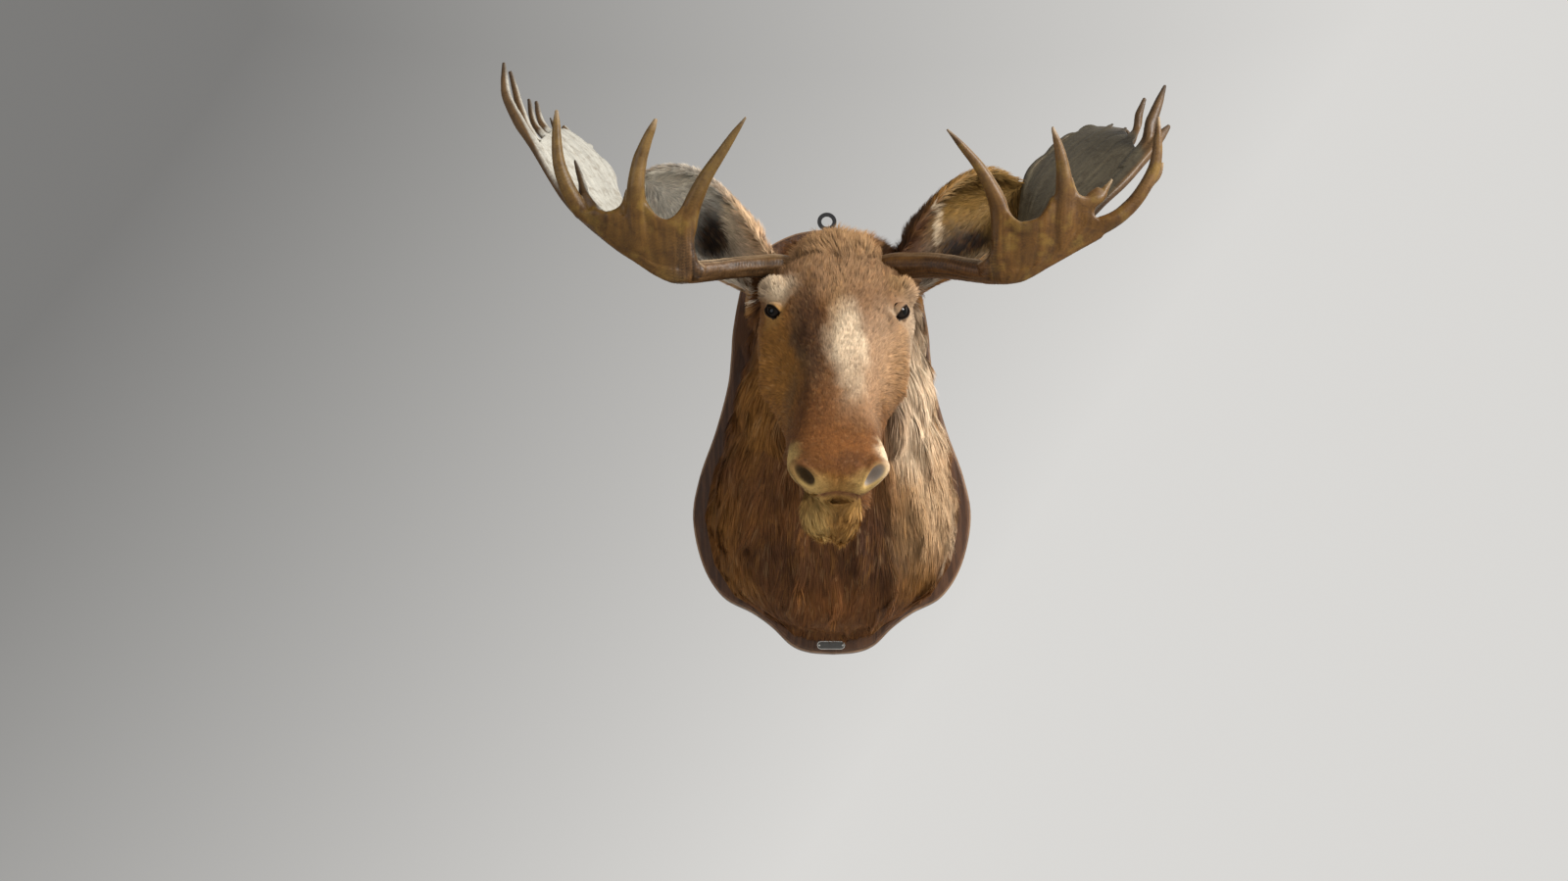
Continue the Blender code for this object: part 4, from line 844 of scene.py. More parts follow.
def neck_point(position, angle):
    """Return a point of the neck at a section position and an angle from its top."""
    top_y, top_z, bottom_y, bottom_z, half, follow = at(NECK, position)
    side, up = squared(angle, NECK_SQUARE)
    fraction = (1 - up) / 2
    like_shield = math.copysign(lookup(SHIELD_LIKE, fraction), side)
    width = half * ((1 - follow) * side + follow * like_shield)
    shift = NECK_SHIFT * follow * min(max((0.6 - fraction) / 0.3, 0.0), 1.0)
    return Vector((
        width + shift, top_y + (bottom_y - top_y) * fraction, top_z + (bottom_z - top_z) * fraction))


def neck_middle(position):
    """Return the middle of the neck at a section position."""
    top_y, top_z, bottom_y, bottom_z = at(NECK, position)[:4]
    return Vector((0.0, (top_y + bottom_y) / 2, (top_z + bottom_z) / 2))


def ear_rows(side):
    """Return the rows of a cupped ear, each of which goes round its hollow from rim to rim."""
    line = smooth_line(EARS[side], 3)
    opening = EAR_OPENING[side]
    rows = []
    for k, (x, y, z, half, curl) in enumerate(line):
        ahead, behind = line[min(k + 1, len(line) - 1)], line[max(k - 1, 0)]
        tangent = Vector((ahead - behind)[:3]).normalized()
        facing = (opening - tangent * opening.dot(tangent)).normalized()
        across = tangent.cross(facing)
        rows.append([
            Vector((x, y, z)) + half * (math.sin(a) * across - (math.cos(a) - 0.25) * facing)
            for a in (math.radians(curl * (j / 4 - 1)) for j in range(9))])
    return rows


def neck_locks(rng):
    """Return the long locks of the neck and the brisket as strands that follow its skin to the wall."""
    strands = []
    first, arc = LOCK_ARC
    for row, (start, length, radius, count) in enumerate(NECK_LOCKS):
        for k in range(count):
            stray = rng.uniform(-LOCK_STRAY, LOCK_STRAY)
            angle = math.radians(first + arc / count * (k + 0.5 * (row % 2)) + stray)
            begin = start + rng.uniform(-0.15, 0.15)
            strand = []
            for share, size, lift in LOCK_SHAPE:
                position = begin - length * share
                point = neck_point(position, angle + math.radians(LOCK_BEND) * share * math.sin(angle))
                outward = (point - neck_middle(position)).normalized()
                strand.append((*(point + outward * radius * lift), radius * size))
            strands.append(strand)
    return strands


def beard_locks(rng):
    """Return the locks of the beard under the chin."""
    strands = []
    for k in range(BEARD_LOCKS):
        x = BEARD_HALF_WIDTH * 0.82 * (2 * k / (BEARD_LOCKS - 1) - 1)
        low = 0.150 + 0.005 * k
        strands.append([
            (*face_point(x * 0.90, 0.615, 0.120), 0.014), (*face_point(x, 0.650, 0.140), 0.017),
            (*face_point(x * 0.85, 0.668, 0.145 + 0.012 * (k % 2)), 0.014),
            (*face_point(x * 0.42 + 0.004, 0.676 + rng.uniform(-0.004, 0.004), low), 0.003)])
    return strands


def eye_centre(side):
    """Return the middle of an eyeball."""
    return face_point(SIDES[side] * EYE_SIDE + EYE_SHIFTS[side], EYE_ALONG, EYE_DOWN)


def directions(facing):
    """Return a direction, the level one across it and the upright one."""
    facing = Vector(facing).normalized()
    level = facing.cross(Vector((0.0, 0.0, 1.0))).normalized()
    return facing, level, level.cross(facing)


def slanted(level, upright, degrees):
    """Return the level and the upright direction, turned by an angle."""
    turn = math.radians(degrees)
    return (level * math.cos(turn) + upright * math.sin(turn),
            upright * math.cos(turn) - level * math.sin(turn))


def skin_pieces():
    """Return the overlapping pieces that the skin is grown from."""
    rng = random.Random(7)
    angles = [2 * math.pi * k / 96 for k in range(96)]
    neck_rings = [[neck_point(k / 3, angle) for angle in angles] for k in range(3 * len(NECK) - 2)]
    pieces = [
        ring_loft("Neck", neck_rings),
        ring_loft("Face", [face_ring(station) for station in smooth_line(FACE, 3)]),
        ring_loft("Jaw", [face_ring(station) for station in smooth_line(JAW, 3)]),
        tubes("Neck locks", neck_locks(rng), 3),
        tubes("Beard locks", beard_locks(rng), 3)]
    for side, sign in SIDES.items():
        for lump, ((across, along, down), radii, lies) in LUMPS.items():
            place = face_point(sign * across, along, down)
            pieces.append(ball(f"{lump} {side}", place, radii, -FACE_TILT if lies else 0.0))
        x, y, z = EAR_ROOT
        pieces.append(ball("Ear root " + side, (sign * x, y, z), EAR_ROOT_RADII))
        pieces.append(sheet("Ear " + side, ear_rows(side), EAR_THICKNESS, 2))
    return pieces


def cut_wall_side(obj):
    """Cut the skin off flat in front of the shield, and close it."""
    with editing(obj) as bm:
        made = bmesh.ops.bisect_plane(
            bm, geom=bm.verts[:] + bm.edges[:] + bm.faces[:], plane_co=(0.0, SHIELD_FRONT, 0.0),
            plane_no=(0.0, 1.0, 0.0), clear_outer=True)["geom_cut"]
        rim = [item for item in made if isinstance(item, bmesh.types.BMEdge)]
        bmesh.ops.triangle_fill(bm, edges=rim, use_beauty=False)
        bmesh.ops.recalc_face_normals(bm, faces=bm.faces)


def refine(obj, centres):
    """Split the faces within reach of each centre twice as fine."""
    with editing(obj) as bm:
        edges = [edge for edge in bm.edges if any(
            (edge.verts[0].co - centre).length < reach for centre, reach in centres)]
        bmesh.ops.subdivide_edges(bm, edges=edges, cuts=1, use_grid_fill=True)


def weld(obj):
    """Join the loose caps of a tube to its wall."""
    with editing(obj) as bm:
        bmesh.ops.remove_doubles(bm, verts=bm.verts, dist=WELD)
        bmesh.ops.recalc_face_normals(bm, faces=bm.faces)
    return obj


def line_distance(places, points):
    """Return how far each place is from a smooth line through points of the face."""
    line = np.array([face_point(*point) for point in smooth_line(points, 6)])
    best = np.full(len(places), FAR)
    near = distances(places, line.mean(axis=0)) < 0.2
    for point in line:
        best[near] = np.minimum(best[near], distances(places[near], point))
    return best


def neck_share(places):
    """Return 1 on the neck and 0 on the head, the ears and next to the shield."""
    _, along, down = face_places(places)
    ears = ramp(np.abs(places[:, 0]), 0.13, 0.16) * ramp(places[:, 2], 0.13, 0.17)
    head = (1 - ramp(down, 0.235, 0.275)) * ramp(-places[:, 1], 0.24, 0.28) * ramp(along, -0.02, 0.02)
    return ramp(-places[:, 1], 0.030, 0.050) * (1 - ears) * (1 - head)


def head_share(places):
    """Return 1 on the head and 0 on the neck, the ears and the beard."""
    across, along, down = face_places(places)
    beard = ramp(down, 0.11, 0.125) * ramp(along, 0.60, 0.63)
    return (ramp(along, -0.01, 0.04) * ramp(-places[:, 1], 0.33, 0.37) * (1 - ramp(down, 0.20, 0.26))
            * (1 - ramp(np.abs(across), 0.15, 0.17)) * (1 - beard))


def draw_in_head(places):
    """Lower the sides of the bridge and poll, set the nose back, and draw in the lips, chin and cheeks."""
    across, along, down = face_places(places)
    side = np.abs(across)
    over_lips = 1 - ramp(down, 0.105, 0.120)
    fall = BRIDGE_FALL * ramp(side, 0.050, 0.118) * ramp(along, 0.235, 0.330) * (1 - ramp(along, 0.46, 0.60))
    fall *= 1 - ramp(down, 0.08, 0.15)
    squeeze = across * LIP_SQUEEZE * ramp(down, 0.015, 0.060) * (ramp(along, 0.60, 0.69) * over_lips)
    rise = NOSE_RISE * ramp(along, 0.61, 0.70) * over_lips
    places += DOWN * (fall - rise * 0.3)[:, None] - ALONG * rise[:, None]
    chin = CHIN_SHIFT * ramp(along, 0.60, 0.64) * ramp(down, 0.115, 0.13) * (1 - ramp(down, 0.22, 0.25))
    places[:, 0] -= squeeze + chin
    brow = RIGHT_BROW_OUT * ramp(across, 0.07, 0.12) * ramp(along, 0.06, 0.11)
    places[:, 0] += brow * (1 - ramp(along, 0.17, 0.22)) * (1 - ramp(down, 0.08, 0.12))
    for name, sign in SIDES.items():
        inwards = np.interp(along, *np.array(CHEEKS_IN[name]).T) * ramp(sign * across, 0.03, 0.09)
        places[:, 0] -= sign * inwards * ramp(-places[:, 1], 0.33, 0.37) * (1 - ramp(down, 0.18, 0.24))
    crown = (1 - ramp(along, 0.04, 0.11)) * ramp(-places[:, 1], 0.26, 0.30) * (1 - ramp(side, 0.12, 0.14))
    places[:, 2] -= POLL_DROP * ramp(side, 0.020, 0.100) * crown


def shape_face(mesh):
    """Smooth the neck and the head, draw in the head, and press in its folds, nostrils and lids."""
    places = positions(mesh)
    edges = edge_pairs(mesh)
    neck = neck_share(places)
    places = soften(places, edges, neck * 0.5, NECK_SOFTENING)
    move_to(mesh, places)
    places -= vertex_normals(mesh) * (settings("coat").neck_room * neck)[:, None]
    places = soften(places, edges, head_share(places) * 0.6, FACE_SOFTENING)
    draw_in_head(places)
    move_to(mesh, places)
    normals = vertex_normals(mesh)
    for points, width, depth in FOLDS.values():
        distance = line_distance(places, points)
        places -= normals * (depth * bell(distance, 0.0, width))[:, None]
    for side in SIDES:
        places = press_nostril(places, normals, side)
    move_to(mesh, shape_lids(places))


def nostril_facing(side):
    """Return the way that a nostril looks, with the level direction across it and the upright one."""
    return directions((SIDES[side] * 0.45, -1.0, -0.05))


def nostril_share(places, side):
    """Return how far each place is from a nostril's middle, against the nostril's almond outline."""
    facing, level, upright = nostril_facing(side)
    offset = places - np.array(face_point(*NOSTRILS[side]))
    long, short = slanted(level, upright, NOSTRIL_SLANT * SIDES[side])
    reach, rise = offset @ np.array(long) / NOSTRIL_HALF[0], offset @ np.array(short) / NOSTRIL_HALF[1]
    share = np.sqrt(reach ** 2 + (rise * (1 + 0.25 * reach)) ** 2)
    return np.where(np.abs(offset @ np.array(facing)) < 0.05, share, FAR)


def press_nostril(places, normals, side):
    """Press a slanted nostril into the muzzle and raise its rim."""
    share = nostril_share(places, side)
    hole = NOSTRIL_DEPTH * (1 - ramp(share, 0.25, 1.05))
    rim = NOSTRIL_RIM * bell(share, 1.30, 0.30)
    inward = -np.array(nostril_facing(side)[0]) + np.array((-0.35 * SIDES[side], 0.0, 0.45))
    return places + inward * hole[:, None] + normals * rim[:, None]


def shape_lids(places):
    """Stand the skin round each eye off the eyeball, as lids."""
    lid = settings("eyes").radius + LID_STANDOFF
    for side in SIDES:
        offset = places - np.array(eye_centre(side))
        distance = np.linalg.norm(offset, axis=1)
        outward = offset / np.maximum(distance, 1e-6)[:, None]
        ahead = offset @ np.array(directions(LOOKS[side])[0]) / np.maximum(distance, 1e-6)
        near = ramp(ahead, 0.05, 0.45) * (1 - ramp(distance, lid * 1.35, lid * 1.9))
        wanted = np.where(distance < lid, lid, distance * 0.35 + lid * 0.65)
        rise = LID_RIM * bell(lid_share(places, side), 1.18, 0.20)
        places += outward * ((wanted - distance) * near + rise)[:, None]
    return places


def lid_share(places, side):
    """Return how far each direction from the eye is outside the opening between its lids, 1 at its edge."""
    facing, level, upright = (np.array(axis) for axis in directions(LOOKS[side]))
    offset = unit(places - np.array(eye_centre(side)))
    long, short = slanted(level, upright, LID_SLANT[side])
    reach, rise = offset @ long / LID_HALF[side][0], offset @ short / LID_HALF[side][1]
    share = (np.abs(reach) ** LID_SQUARE + np.abs(rise) ** LID_SQUARE) ** (1 / LID_SQUARE)
    return np.where(offset @ facing > 0.1, share, FAR)


def lid_cutter(side):
    """Return a cutter in the shape of the opening between the lids, from the eye's middle outwards."""
    facing, level, upright = directions(LOOKS[side])
    long, short = slanted(level, upright, LID_SLANT[side])
    bm = bmesh.new()
    tip = bm.verts.new(eye_centre(side) - facing * 0.1 * settings("eyes").radius)
    rim = []
    for k in range(48):
        x, y = squared(2 * math.pi * k / 48, LID_SQUARE)
        ray = long * x * LID_HALF[side][0] + short * y * LID_HALF[side][1]
        ray += facing * math.sqrt(max(1 - ray.length_squared, 0.05))
        rim.append(bm.verts.new(eye_centre(side) + ray * 2.0 * settings("eyes").radius))
    bm.faces.new(rim)
    for first, second in zip(rim, rim[1:] + rim[:1]):
        bm.faces.new((first, second, tip))
    return mesh_object("Eye opening " + side, bm)


def build_skin_mesh():
    """Grow, shape and cut open the skin."""
    skin = fused("moose_skin", skin_pieces(), settings("coat").skin_grid, SKIN_SMOOTHING)
    cut_wall_side(skin)
    centres = [(eye_centre(side), 0.050) for side in SIDES]
    centres.append((face_point(0.0, 0.665, 0.06), 0.110))
    refine(skin, centres)
    shape_face(skin.data)
    cutters = []
    for side in SIDES:
        socket = [settings("eyes").radius + SOCKET_ROOM] * 3
        cutters.append(ball("Eye socket " + side, eye_centre(side), socket))
        cutters.append(lid_cutter(side))
        root = [(x, y, z, radius + BEAM_ROOM) for x, y, z, radius in BEAMS[side][:BEAM_ROOT]]
        cutters.append(weld(baked(tubes("Beam room " + side, [root], 6, 6))))
    skin = cut_all(skin, cutters)
    skin.data.shade_smooth()
    return skin


# ---- the coat's colours
def marking_share(places, centre, radii):
    """Return 1 inside a marking, whose sizes are in millimetres, and 0 outside it, with a soft edge."""
    distance = np.linalg.norm((places - np.array(metres(centre))) / np.array(metres(radii)), axis=1)
    return 1 - ramp(distance, 0.30, 1.40)


def coat_colours(places, kinds):
    """Return the colour of the coat at each place."""
    ragged = np.stack([soft_noise(places, 70.0, seed) for seed in (1, 2, 3)], axis=1) * 0.006
    ragged += np.stack([soft_noise(places, 14.0, seed) for seed in (4, 5, 6)], axis=1) * 0.014
    moved = places + ragged
    on_face = np.stack(face_places(moved), axis=1)
    colours = np.tile(coat_shade("mid brown"), (len(places), 1))
    for markings, where in ((BODY_MARKINGS, moved), (FACE_MARKINGS, on_face)):
        for name, centre, radii, strength in markings:
            colours = painted(colours, coat_shade(name), marking_share(where, centre, radii) * strength)
    # The grey inside the left ear is partly painted light
    for kind, name in ((EAR_BACK, "gold"), (EAR_INSIDE, "grey"), (BEARD, "straw gold")):
        colours[kinds == kind] = coat_shade(name)
    for name, kind, centre, radii, strength in HAIR_MARKINGS:
        share = marking_share(moved, centre, radii) * strength * (kinds == kind)
        colours = painted(colours, coat_shade(name), share)
    # The nostrils' insides: painted shade in the left one, painted light in the right one
    for side in SIDES:
        share = 1 - ramp(nostril_share(places, side), 0.60, 1.05)
        colours = painted(colours, coat_shade("nostril " + side), share)
    for side in SIDES:
        near = distances(places, eye_centre(side)) < settings("eyes").radius * 1.5
        share = near * (1 - ramp(lid_share(places, side), 1.04, 1.16))
        colours = painted(colours, coat_shade("near black"), share)
    mouth = line_distance(places, FOLDS["Mouth"][0])
    return painted(colours, coat_shade("lip"), (1 - ramp(mouth, 0.0025, 0.0050)) * 0.8)


# ---- the way the hair lies
def flow_rows():
    """Return places round the head with the way the hair lies there, its length, its lift and its kind.

    A row of an ear ends with the way out through its back, which tells the back's hair from the hollow's.
    """
    rows = []
    for k in range(4 * len(NECK) - 3):
        position = k / 4
        for j in range(64):
            angle = 2 * math.pi * j / 64
            here, back = neck_point(position, angle), neck_point(max(position - 0.3, 0.0), angle)
            toward = (back - here).normalized() if position > 0.2 else Vector((0.0, 0.3, -0.6))
            low = (1 - math.cos(angle)) / 2
            way = toward * 0.75 + Vector((0.12 * here.x / 0.2, -0.05, -0.35 - 0.75 * low))
            rows.append((here, way, 0.044 + 0.010 * low, 0.10, NECK_HAIR))
    for station in smooth_line(FACE, 2):
        for point in face_ring(station, 32):
            across, along, down = (float(value[0]) for value in face_places(np.array([point])))
            if along > 0.58:
                way = np.array(point) - np.array(face_point(0.0, 0.705, 0.040))
                rows.append((point, way, 0.0045, 0.22, MUZZLE))
                continue
            into = min(max(down - 0.03, 0.0) / 0.06, 1.0)
            way = -ALONG + DOWN * 0.9 * into + np.array((across * 3.0, 0, 0))
            length = lookup(FACE_HAIR, along) + 0.024 * min(max(down - 0.045, 0.0) / 0.07, 1.0)
            rows.append((point, way, length, lookup(FACE_LIFT, along), FACE_FUR))
    for station in smooth_line(JAW, 2):
        for point in face_ring(station, 32):
            rows.append((point, -ALONG * 0.6 + np.array((0.0, 0.5, -0.8)), 0.020, 0.3, FACE_FUR))
    for side in SIDES:
        ears = ear_rows(side)
        for first, second in zip(ears, ears[1:]):
            middle = sum(first, Vector()) / len(first)
            for j, (point, ahead) in enumerate(zip(first, second)):
                tangent = (ahead - point).normalized()
                edge = abs(j - 4) / 4
                side_way = (first[8] - first[0]).normalized() * (1 if j > 4 else -1)
                away = (point - middle).normalized() if edge < 0.9 else side_way
                rows.append((point + away * 0.006, tangent + side_way * 0.5 * edge, 0.016, 0.25,
                             EAR_BACK, away))
                rows.append((point - away * 0.006, tangent * 0.8 - side_way * 0.3 * edge,
                             0.014 + 0.012 * edge, 0.45 + 0.35 * edge, EAR_INSIDE, away))
    for strand in beard_locks(random.Random(3)):
        for first, second in zip(strand, strand[1:]):
            for point, length in ((first, 0.026), (second, 0.022)):
                rows.append((Vector(point[:3]), Vector((0.0, -0.05, -1.0)), length, 0.18, BEARD))
    return rows


def hair_field(mesh):
    """Return how the hair lies at each vertex of the skin, with its length, its lift and its kind."""
    rows = flow_rows()
    places, normals = positions(mesh), vertex_normals(mesh)
    nearest = nearest_of([row[0] for row in rows], places)
    way = unit(np.array([list(row[1]) for row in rows]))[nearest]
    shape = np.array([row[2:4] for row in rows])[nearest]
    kind = np.array([row[4] for row in rows])[nearest]
    away = np.array([tuple(row[5]) if len(row) > 5 else (0.0, 0.0, 0.0) for row in rows])[nearest]
    outer = np.sum(away * normals, axis=1)
    kind = np.where(outer > 0.1, EAR_BACK, np.where(outer < -0.1, EAR_INSIDE, kind))
    across, along, down = face_places(places)
    beard = (along > 0.60) & (down > 0.058) & (across > -0.060) & (across < 0.040)
    kind[beard], shape[beard] = BEARD, (0.024, 0.16)
    hanging = np.stack([across * -3.0, np.full(len(places), -0.25), np.full(len(places), -1.0)], axis=1)
    way[beard] = unit(hanging[beard])
    edges = edge_pairs(mesh)
    way = laid_flat(soften(way, edges, 0.7, 18), normals)
    shape = soften(shape, edges, 0.7, 10)
    return way, shape[:, 0], shape[:, 1], kind


def bare_share(places):
    """Return how bare the skin is: 1 in the nostrils, at the lids, round the beams and against the shield."""
    bare = ramp(places[:, 1], SHIELD_FRONT - 0.003, SHIELD_FRONT - 0.001)
    eye = settings("eyes").radius
    for side in SIDES:
        bare = np.maximum(bare, 1 - ramp(nostril_share(places, side), 1.0, 1.25))
        near = distances(places, eye_centre(side))
        lids = (near < eye * 1.5) * (1 - ramp(lid_share(places, side), 1.22, 1.50))
        bare = np.maximum(bare, np.maximum(lids, near < eye + 0.0015))
        for x, y, z, radius in smooth_line(BEAMS[side][:BEAM_ROOT], 4):
            bare = np.maximum(bare, distances(places, (x, y, z)) < radius + 0.0025)
    return bare


def scatter(mesh, field, density, rng):
    """Return random places on the mesh, more where its density is higher, with their normals and field."""
    mesh.calc_loop_triangles()
    corners = np.empty(3 * len(mesh.loop_triangles), dtype=np.int32)
    mesh.loop_triangles.foreach_get("vertices", corners)
    corners = corners.reshape(-1, 3)
    places, normals = positions(mesh), vertex_normals(mesh)
    a, b, c = (places[corners[:, k]] for k in range(3))
    wanted = np.linalg.norm(np.cross(b - a, c - a), axis=1) / 2 * density[corners].mean(axis=1)
    picks = np.searchsorted(np.cumsum(wanted), rng.random(int(wanted.sum())) * wanted.sum())
    picks = corners[np.minimum(picks, len(corners) - 1)]
    first, second = rng.random((2, len(picks)))
    flip = first + second > 1
    first, second = np.where(flip, 1 - first, first), np.where(flip, 1 - second, second)
    shares = np.stack([1 - first - second, first, second], axis=1)

    def spread(values):
        """Return the mean of the values at the corners round each place, by its share of each."""
        return np.einsum("ij,ij...->i...", shares, values[picks])

    way, length, lift, kind = field
    return (spread(places), unit(spread(normals)), unit(spread(way)), spread(length), spread(lift),
            kind[picks[:, 0]])


def turned_about(vectors, axes, angles):
    """Turn each vector about its axis by its angle."""
    cosine, sine = np.cos(angles)[:, None], np.sin(angles)[:, None]
    along = np.sum(vectors * axes, axis=1)[:, None]
    return vectors * cosine + np.cross(axes, vectors) * sine + axes * along * (1 - cosine)


def hair_lines(roots, normals, ways, lengths, lifts, rng):
    """Return each hair's middle and end, drawn together into locks, and the hair that leads its lock."""
    count = len(roots)
    poll = ramp(roots[:, 2], 0.20, 0.27) * (np.abs(roots[:, 0]) < 0.14)
    swirl = soft_noise(roots, 18.0, 11) * (0.30 + 0.70 * poll)
    swirl = swirl + soft_noise(roots, 60.0, 12) * (0.16 + 0.60 * poll)
    swirl += rng.normal(0, 0.07, count)
    ways = turned_about(ways, normals, swirl)
    lengths = lengths * (0.72 + 0.5 * rng.random(count))
    lifts = lifts + (0.07 + 0.45 * poll) * soft_noise(roots, 50.0, 13) + rng.normal(0, 0.03, count)
    ends = roots + (ways * np.cos(lifts)[:, None] + normals * np.sin(lifts)[:, None]) * lengths[:, None]
    guides = rng.choice(count, count // HAIRS_PER_LOCK, replace=False)
    guide = guides[nearest_of(roots[guides], roots)]
    pull = LOCK_PULL * ramp(lengths, 0.004, 0.020) * (0.5 + 0.5 * rng.random(count))
    ends += (ends[guide] - ends) * pull[:, None]
    middles = (roots + ends) / 2 + normals * (0.07 * lengths)[:, None] * (0.5 + lifts)[:, None]
    return middles, ends, guide


def blades(name, roots, middles, ends, normals, widths, shades, contrast, colours):
    """Build flat tapered hairs as one mesh, with its colours, normals and a patch of map for each hair."""
    count = len(roots)
    across = unit(np.cross(ends - roots, normals)) * widths[:, None] / 2
    points = np.stack([
        roots - across, roots + across, middles - across * 0.8, middles + across * 0.8, ends], axis=1)
    first = np.arange(count)[:, None] * 5
    loops = np.concatenate([first + np.array((0, 1, 3, 2)), first + np.array((2, 3, 4))], axis=1)
    starts = (np.arange(count)[:, None] * 7 + np.array((0, 4))).ravel()
    mesh = bpy.data.meshes.new(name)
    mesh.vertices.add(5 * count)
    mesh.vertices.foreach_set("co", points.ravel())
    mesh.loops.add(7 * count)
    mesh.loops.foreach_set("vertex_index", loops.ravel().astype(np.int32))
    mesh.polygons.add(2 * count)
    mesh.polygons.foreach_set("loop_start", starts.astype(np.int32))
    mesh.update(calc_edges=True)
    tone = (1 + np.array(HAIR_SHADES)[None, :] * contrast[:, None]) * shades[:, None]
    store_colours(mesh, "coat", (colours[:, None, :] * tone[:, :, None]).reshape(-1, 3))
    side = math.ceil(math.sqrt(count))
    cell = np.stack([np.arange(count) % side, np.arange(count) // side], axis=1) / side
    corner = np.array(((0.1, 0.1), (0.9, 0.1), (0.15, 0.5), (0.85, 0.5), (0.5, 0.9))) / side
    chart = (cell[:, None, :] + corner[None, :, :]).reshape(-1, 2)
    layer = mesh.uv_layers.new(name="OFBake")
    layer.data.foreach_set("uv", chart[loops.ravel()].astype(np.float32).ravel())
    mesh.polygons.foreach_set("use_smooth", np.ones(2 * count, dtype=bool))
    mesh.normals_split_custom_set_from_vertices(np.repeat(unit(normals), 5, axis=0).astype(np.float32))
    return link(name, mesh)


def fur_groups(roots, kinds):
    """Return the name and the members of each piece of fur."""
    left = roots[:, 0] < 0.01
    low = roots[:, 2] < -0.215
    neck, face = kinds == NECK_HAIR, kinds == FACE_FUR
    ears = (kinds == EAR_BACK) | (kinds == EAR_INSIDE)
    return {
        "fur_neck_left": neck & left & ~low, "fur_neck_right": neck & ~left & ~low,
        "fur_brisket_left": neck & left & low, "fur_brisket_right": neck & ~left & low,
        "fur_ear_left": ears & left, "fur_ear_right": ears & ~left,
        "fur_face_left": face & left, "fur_face_right": face & ~left,
        "fur_muzzle": kinds == MUZZLE, "fur_beard": kinds == BEARD}


def hair_tones(roots, kinds, guide, shaggy, rng):
    """Return how light or dark each hair is, by its lock, by chance and in streaks down the face."""
    count = len(roots)
    tone = 1 + rng.normal(0.0, 0.09, count)[guide] * (1.0 + 0.5 * shaggy) + rng.normal(0.0, 0.09, count)
    tone += 0.11 * soft_noise(roots, 30.0, 21) * shaggy
    across, along, down = face_places(roots)
    stretched = np.stack([across * 5.0, along, down * 5.0], axis=1)
    streaks = 0.10 * soft_noise(stretched, 28.0, 22) + 0.13 * soft_noise(stretched, 75.0, 23)
    tone += streaks * ((kinds == FACE_FUR) | (kinds == MUZZLE))
    return np.clip(tone, 0.5, 1.5)


def streaked(colours, lengths, guide, rng):
    """Tint some of the locks with other colours, and the long ones more."""
    streak = rng.random(len(colours))[guide]
    strength = 0.10 + 0.13 * ramp(lengths, 0.012, 0.030)
    for name, low, high in STREAKS:
        colours = painted(colours, coat_shade(name), ((streak >= low) & (streak < high)) * strength)
    return colours


def build_fur(skin):
    """Colour the skin, and grow the hair out of it."""
    rng = np.random.default_rng(5)
    mesh = skin.data
    places, field = positions(mesh), hair_field(mesh)
    store_colours(mesh, "coat", coat_colours(places, field[3]))
    density = np.select([field[3] == kind for kind in range(len(DENSITIES))], DENSITIES)
    density = density * (1 - bare_share(places))
    roots, normals, ways, lengths, lifts, kinds = scatter(mesh, field, density, rng)
    lengths = lengths * lengths_near(roots) * settings("coat").hair_length
    middles, ends, guide = hair_lines(roots, normals, ways, lengths, lifts, rng)
    for points in (middles, ends):
        points[:, 1] = np.minimum(points[:, 1], SHIELD_FRONT)
        keep_on_shield(points)
    shaggy = ramp(lengths, 0.005, 0.025)
    tone = hair_tones(roots, kinds, guide, shaggy, rng)
    colours = streaked(coat_colours(roots, kinds), lengths, guide, rng)
    widths = settings("coat").hair_width * np.interp(lengths, (0.003, 0.010, 0.040), HAIR_WIDTHS)
    widths *= rng.uniform(0.7, 1.3, len(roots))
    lean = np.stack([rng.normal(0, 1, len(roots))[guide] for _ in range(3)], axis=1)
    shading = unit(normals + 0.10 * lean + 0.06 * rng.normal(0, 1, (len(roots), 3)))
    material = coat_material("Hair")
    for name, members in fur_groups(roots, kinds).items():
        obj = blades(name, roots[members], middles[members], ends[members], shading[members],
                     widths[members], tone[members], 0.35 + 0.65 * shaggy[members], colours[members])
        finish_piece(obj, "root", "hide", material)


def keep_on_shield(places):
    """Draw the hair next to the shield in from its outline."""
    table = [(-0.6, 0.0)] + [(z, x) for x, z in SHIELD_HALF[::-1]]
    half = np.interp(places[:, 2], *np.array(table).T) - SHIELD_MARGIN
    near = ramp(places[:, 1], -0.19, -0.13)
    side = np.minimum(np.abs(places[:, 0]), np.maximum(half, 0.01))
    places[:, 0] += (np.copysign(side, places[:, 0]) - places[:, 0]) * near * (places[:, 2] < 0.30)


def lengths_near(places):
    """Return how much shorter the hair is low on the brisket and beside the eyes and the nostrils."""
    share = 1 - 0.6 * ramp(-places[:, 2], 0.385, 0.435)
    for side in SIDES:
        share *= 0.16 + 0.84 * ramp(distances(places, eye_centre(side)), 0.024, 0.052)
    for side in SIDES:
        share *= 0.4 + 0.6 * ramp(nostril_share(places, side), 1.2, 2.2)
    return share


def coat_material(name):
    """Return the finish of hair and skin: the coat's colour at each place, a little uneven."""
    finish = Finish(name)
    fine = finish.noise(finish.place(), 260.0, 2.0)
    shade = finish.mix(fine * 0.30, finish.stored("coat"), (0.35, 0.28, 0.24), "MULTIPLY")
    return finish.surface_is(Base_Color=shade, Roughness=fine * 0.2 + 0.55, Specular_IOR_Level=0.15)


